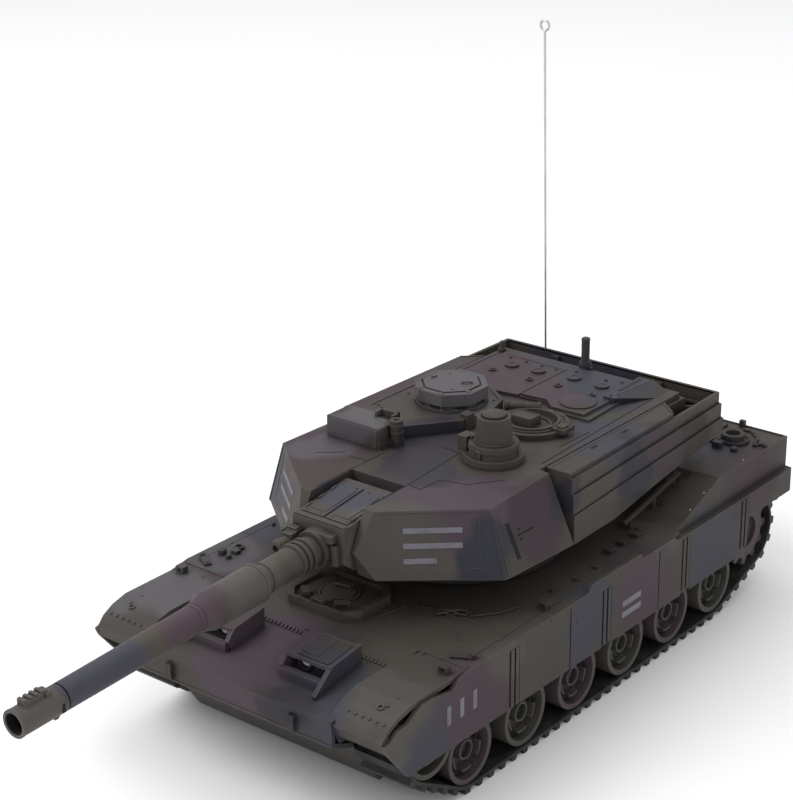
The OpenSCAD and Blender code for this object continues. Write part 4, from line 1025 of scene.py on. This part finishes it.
# The gun droops at rest; the reach is how far its muzzle is ahead of its pivot
DROOP = math.radians(2.5)
PIVOT_Y, MUZZLE_Z, REACH = -15, 77.3, 184.76
PIVOT = Vector((0, PIVOT_Y, MUZZLE_Z + REACH * math.tan(DROOP)))
GUN = Matrix.Translation(PIVOT) @ Matrix.Rotation(DROOP, 4, "X")
# Frame with Z along the barrel from the pivot, and the muzzle's height in it
BARREL = GUN @ Matrix.Rotation(math.pi / 2, 4, "X")
MUZZLE = REACH / math.cos(DROOP)


def gun_details():
    """Sight block, slots and bore at the muzzle, then the barrel's seams and bands."""
    form, dark = Form(), Form()
    block = MUZZLE - 14.5
    for k in range(4):
        a = block + 1.6 + k * 2.5
        form.box((-1.8, 6.6, a), (1.8, 7.7, a + 1.3), BARREL)
        for s in (-1, 1):
            dark.lathe([(0.5, -0.1), (0.5, 0.06)], BARREL @ place((s * 1.8, 5.9, a + 0.7), (s, 0, 0)), 10)
    form.box((-2.4, 4.2, block - 1.2), (2.4, 6.4, block + 1.2), BARREL)
    form.ring(4.2, 5.42, MUZZLE - 1.4, MUZZLE - 0.1, BARREL, 40)
    # Painted shade: a near-black lining and end inside the bore
    dark.ring(4.05, 4.18, MUZZLE - 29.5, MUZZLE - 0.5, BARREL, 36)
    dark.lathe([(4.1, MUZZLE - 29.9), (4.1, MUZZLE - 29.2)], BARREL, 36)
    dark.ring(4.7, 4.9, MUZZLE - 21.3, MUZZLE - 20.6, BARREL, 40)
    slot_at = MUZZLE - 18.6
    for x0, x1 in ((-5.36, -4.9), (4.9, 5.36)):
        dark.box((x0, -2.6, slot_at), (x1, 0.8, slot_at + 1.3), BARREL)
    form.box((-1.0, -6.9, slot_at - 0.2), (1.0, -5.0, slot_at + 1.6), BARREL)

    form.ring(6.0, 6.5, 60.4, 61.0, BARREL, 40)
    form.ring(7.5, 7.9, 65.2, 66.2, BARREL, 44)
    form.ring(7.3, 7.66, 90.6, 91.4, BARREL, 44)
    dark.ring(6.1, 6.7, 64.0, 64.5, BARREL, 40)
    form.ring(5.4, 5.8, 98.0, 99.2, BARREL, 40)
    for a in (37.9, 40.9, 43.9):
        form.ring(6.7, 7.15, a - 0.5, a + 0.5, BARREL, 40)
    form.done("gun_details", "gun", "hull_olive", SPRAYED_GUN_LIT, 0.08)
    dark.recess("gun_recesses", "gun")


def mantlet_details():
    """Bolted plates on the slope, the coaxial tube and its block, and the barrel's collar."""
    form, dark = Form(), Form()
    slope = place((0, -44, 94.4), (0, -3.9, 32.6))
    for s in (-1, 1):
        (x0, x1), (x2, x3) = sorted((s * 0.7, s * 11.6)), sorted((s * 2.0, s * 9.8))
        form.box((x0, 4.0, -0.2), (x1, 29.0, 0.45), slope)
        form.box((x2, 7.0, 0.3), (x3, 26.0, 0.75), slope)
        for v in (8, 15.5, 23):
            form.lathe([(0.55, -1.6), (0.55, 1.6)], slope @ place((s * 11.4, v, 0.6), (0, 1, 0)), 10)
        for u, v in ((3, 5.4), (10.4, 5.4), (3, 27.6), (10.4, 27.6)):
            form.bolt(shifted(slope, s * u, v, 0.45), 0.45, 0.35)
        dark.strip([(s * 0.35, 4.0), (s * 0.35, 29.0)], 0.3, 0.04, slope)
    form.box((-12.8, 0.6, -0.2), (12.8, 2.4, 0.7), slope)

    coax = shifted(BARREL, -10.4, 1.4)
    form.ring(1.5, 3.15, 39.6, 42.3, coax, 26)
    form.ring(2.7, 3.3, 34.0, 35.2, coax, 26)
    dark.lathe([(1.48, 41.0), (1.48, 42.0)], coax, 20)
    form.box((-2.9, 1.4, 28.4), (2.9, 4.4, 33.6), coax)
    form.box((-2.2, 4.2, 29.4), (2.2, 5.2, 32.6), coax)
    form.box((-13.9, -2.0, 29.0), (-12.8, 6.2, 35.4), BARREL)
    form.ring(6.2, 8.0, 31.6, 33.4, BARREL, 40)
    form.box((3.0, 4.6, 28.6), (9.6, 7.6, 32.0), BARREL)
    form.box((8.4, -5.0, 28.8), (11.0, 3.6, 31.4), BARREL)
    form.done("mantlet_details", "gun", "hull_olive", SPRAYED_GUN_LIT, 0.1)
    dark.recess("mantlet_gaps", "gun")


# ---------- running gear and rear ----------


def wheel_details():
    for side, s in SIDES:
        for i in range(1, 7):
            body, name = f"road_wheel_{side}{i}", f"wheel_{side}{i}"
            wheel_face(name, body, s, WHEEL_PLUM if i % 2 else WHEEL_OLIVE)
        wheel_face(f"idler_{side}", f"idler_wheel_{side}", s, WHEEL_OLIVE)
        c, _ = middle(f"sprocket_{side}")
        m = place((s * 69.5, c.y, c.z), (s, 0, 0))
        form = Form()
        form.ring(7.2, 9.4, -0.4, 1.0, m, 40)
        for x, y in around(0, 0, 8.3, 8, EIGHTH):
            form.bolt(shifted(m, x, y, 0.9), 0.55, 0.5)
        form.done(f"sprocket_cap_{side}", f"drive_{side}", "wheel_plastic", WHEEL_PLUM, 0.1)


def middle(name):
    """The middle and the radius of a wheel, in millimetres, from its CAD node."""
    lo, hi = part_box(name)
    return (lo + hi) / 2 / MM, (hi.z - lo.z) / 2 / MM


def wheel_face(name, body, s, material):
    """A rim, a hub ring, ribs and bolts on the outer face of a road wheel or idler."""
    c, r = middle(name)
    m = place((s * 71.6, c.y, c.z), (s, 0, 0))
    form = Form()
    form.ring(r - 2.2, r - 0.5, -0.5, 0.35, m, 56)
    form.ring(3.4, 4.6, -2.2, -1.4, m, 30)
    for k in range(5):
        a = k * math.tau / 5 + math.pi / 5
        rib = m @ Matrix.Rotation(a, 4, "Z")
        form.prism([(4.4, -0.5), (r - 5.2, -0.35), (r - 5.2, 0.35), (4.4, 0.5)], -2.1, -1.1, rib)
        between = m @ Matrix.Rotation(a + 0.63, 4, "Z")
        form.bolt(shifted(between, 4.9, 0, -2.0), 0.4, 0.4)
    form.done(f"{name}_face", body, "wheel_plastic", material, 0.1)


def rear_details():
    form, dark = Form(), Form()
    back = place((0, BACK_Y, 0), (0, 1, 0), (-1, 0, 0))
    for s in (-1, 1):
        form.box((s * 58 - 5.6, 54.4, -0.2), (s * 58 + 5.6, 59.6, 0.3), back)
        dark.box((s * 58 - 4.6, 55.2, 0.2), (s * 58 + 4.6, 58.8, 0.36), back)
        for x, z in ((48, 46), (66, 46), (48, 64), (66, 64)):
            form.bolt(shifted(back, s * x, z), 0.7, 0.35)
    form.strip([(-44, 44.6), (44, 44.6), (44, 64.6), (-44, 64.6), (-44, 44.6)], 0.8, 0.35, back)
    form.fitting("rear_plate_details", "hull", 0.0)
    dark.recess("tail_lamp_recesses", "hull")


def underside_details():
    form = Form()
    under = place((0, 0, 8.0), (0, 0, -1))
    for y in (-50, -10, 96, 150):
        form.strip([(-40, -y), (40, -y)], 1.2, 0.5, under)
    for x in (-30, 30):
        form.strip([(x, -100), (x, -150)], 1.2, 0.5, under)
    form.done("underside_ribs", "hull", "dark_moulding", UNDERSIDE, 0.0)


# ---------- camera, light and floor ----------


def lay_floor():
    mesh = bpy.data.meshes.new("floor")
    grid = bmesh.new()
    bmesh.ops.create_grid(grid, x_segments=2, y_segments=2, size=6.0)
    grid.to_mesh(mesh)
    grid.free()
    mesh.materials.append(floor_white("floor_white"))
    link("floor", mesh)


def light_scene():
    """White surroundings and three soft lamps: name, place, size and power."""
    world = bpy.data.worlds.new("studio")
    world.use_nodes = True
    background = world.node_tree.nodes["Background"]
    background.inputs["Color"].default_value = (1.0, 1.0, 1.0, 1.0)
    background.inputs["Strength"].default_value = 0.8
    scene.world = world
    aim = Vector((0, 0, 0.05))
    for name, at, size, power in (
        ("key", (-0.95, -0.75, 1.3), 1.0, 14.0),
        ("fill", (1.4, -0.9, 0.9), 1.2, 2.5),
        ("top", (-0.3, 0.7, 1.7), 1.4, 7.0),
    ):
        light = bpy.data.lights.new(name, "AREA")
        light.size = size
        light.energy = power
        lamp = link(name, light)
        lamp.location = at
        lamp.rotation_euler = (aim - Vector(at)).to_track_quat("-Z", "Y").to_euler()


def set_camera():
    """The view from the tank's left front, from above."""
    scene.view_settings.view_transform = "Standard"
    camera = bpy.data.cameras.new("camera")
    camera.lens = 91.58
    camera.sensor_width = 36.0
    camera.clip_start = 0.05
    right = Vector((0.77817, 0.62798, -0.009576))
    up = Vector((-0.22396, 0.29170, 0.92992))
    back = Vector((0.58676, -0.72149, 0.36764))
    view = link("camera", camera)
    view.matrix_world = axes_at(right, up, back, (0.47460, -0.57858, 0.42716))
    scene.camera = view


dress_nodes()
glacis_details()
fender_details()
lamp_details()
hatch_details()
left_deck_details()
right_deck_details()
ramp_details()
rear_deck_details()
deck_marks()
skirt_details()
turret_details()
roof_lines()
rack_details()
cupola_details()
sight_details()
hatch_ring_details()
roof_panel_details()
gun_details()
mantlet_details()
wheel_details()
rear_details()
underside_details()
lay_floor()
light_scene()
set_camera()
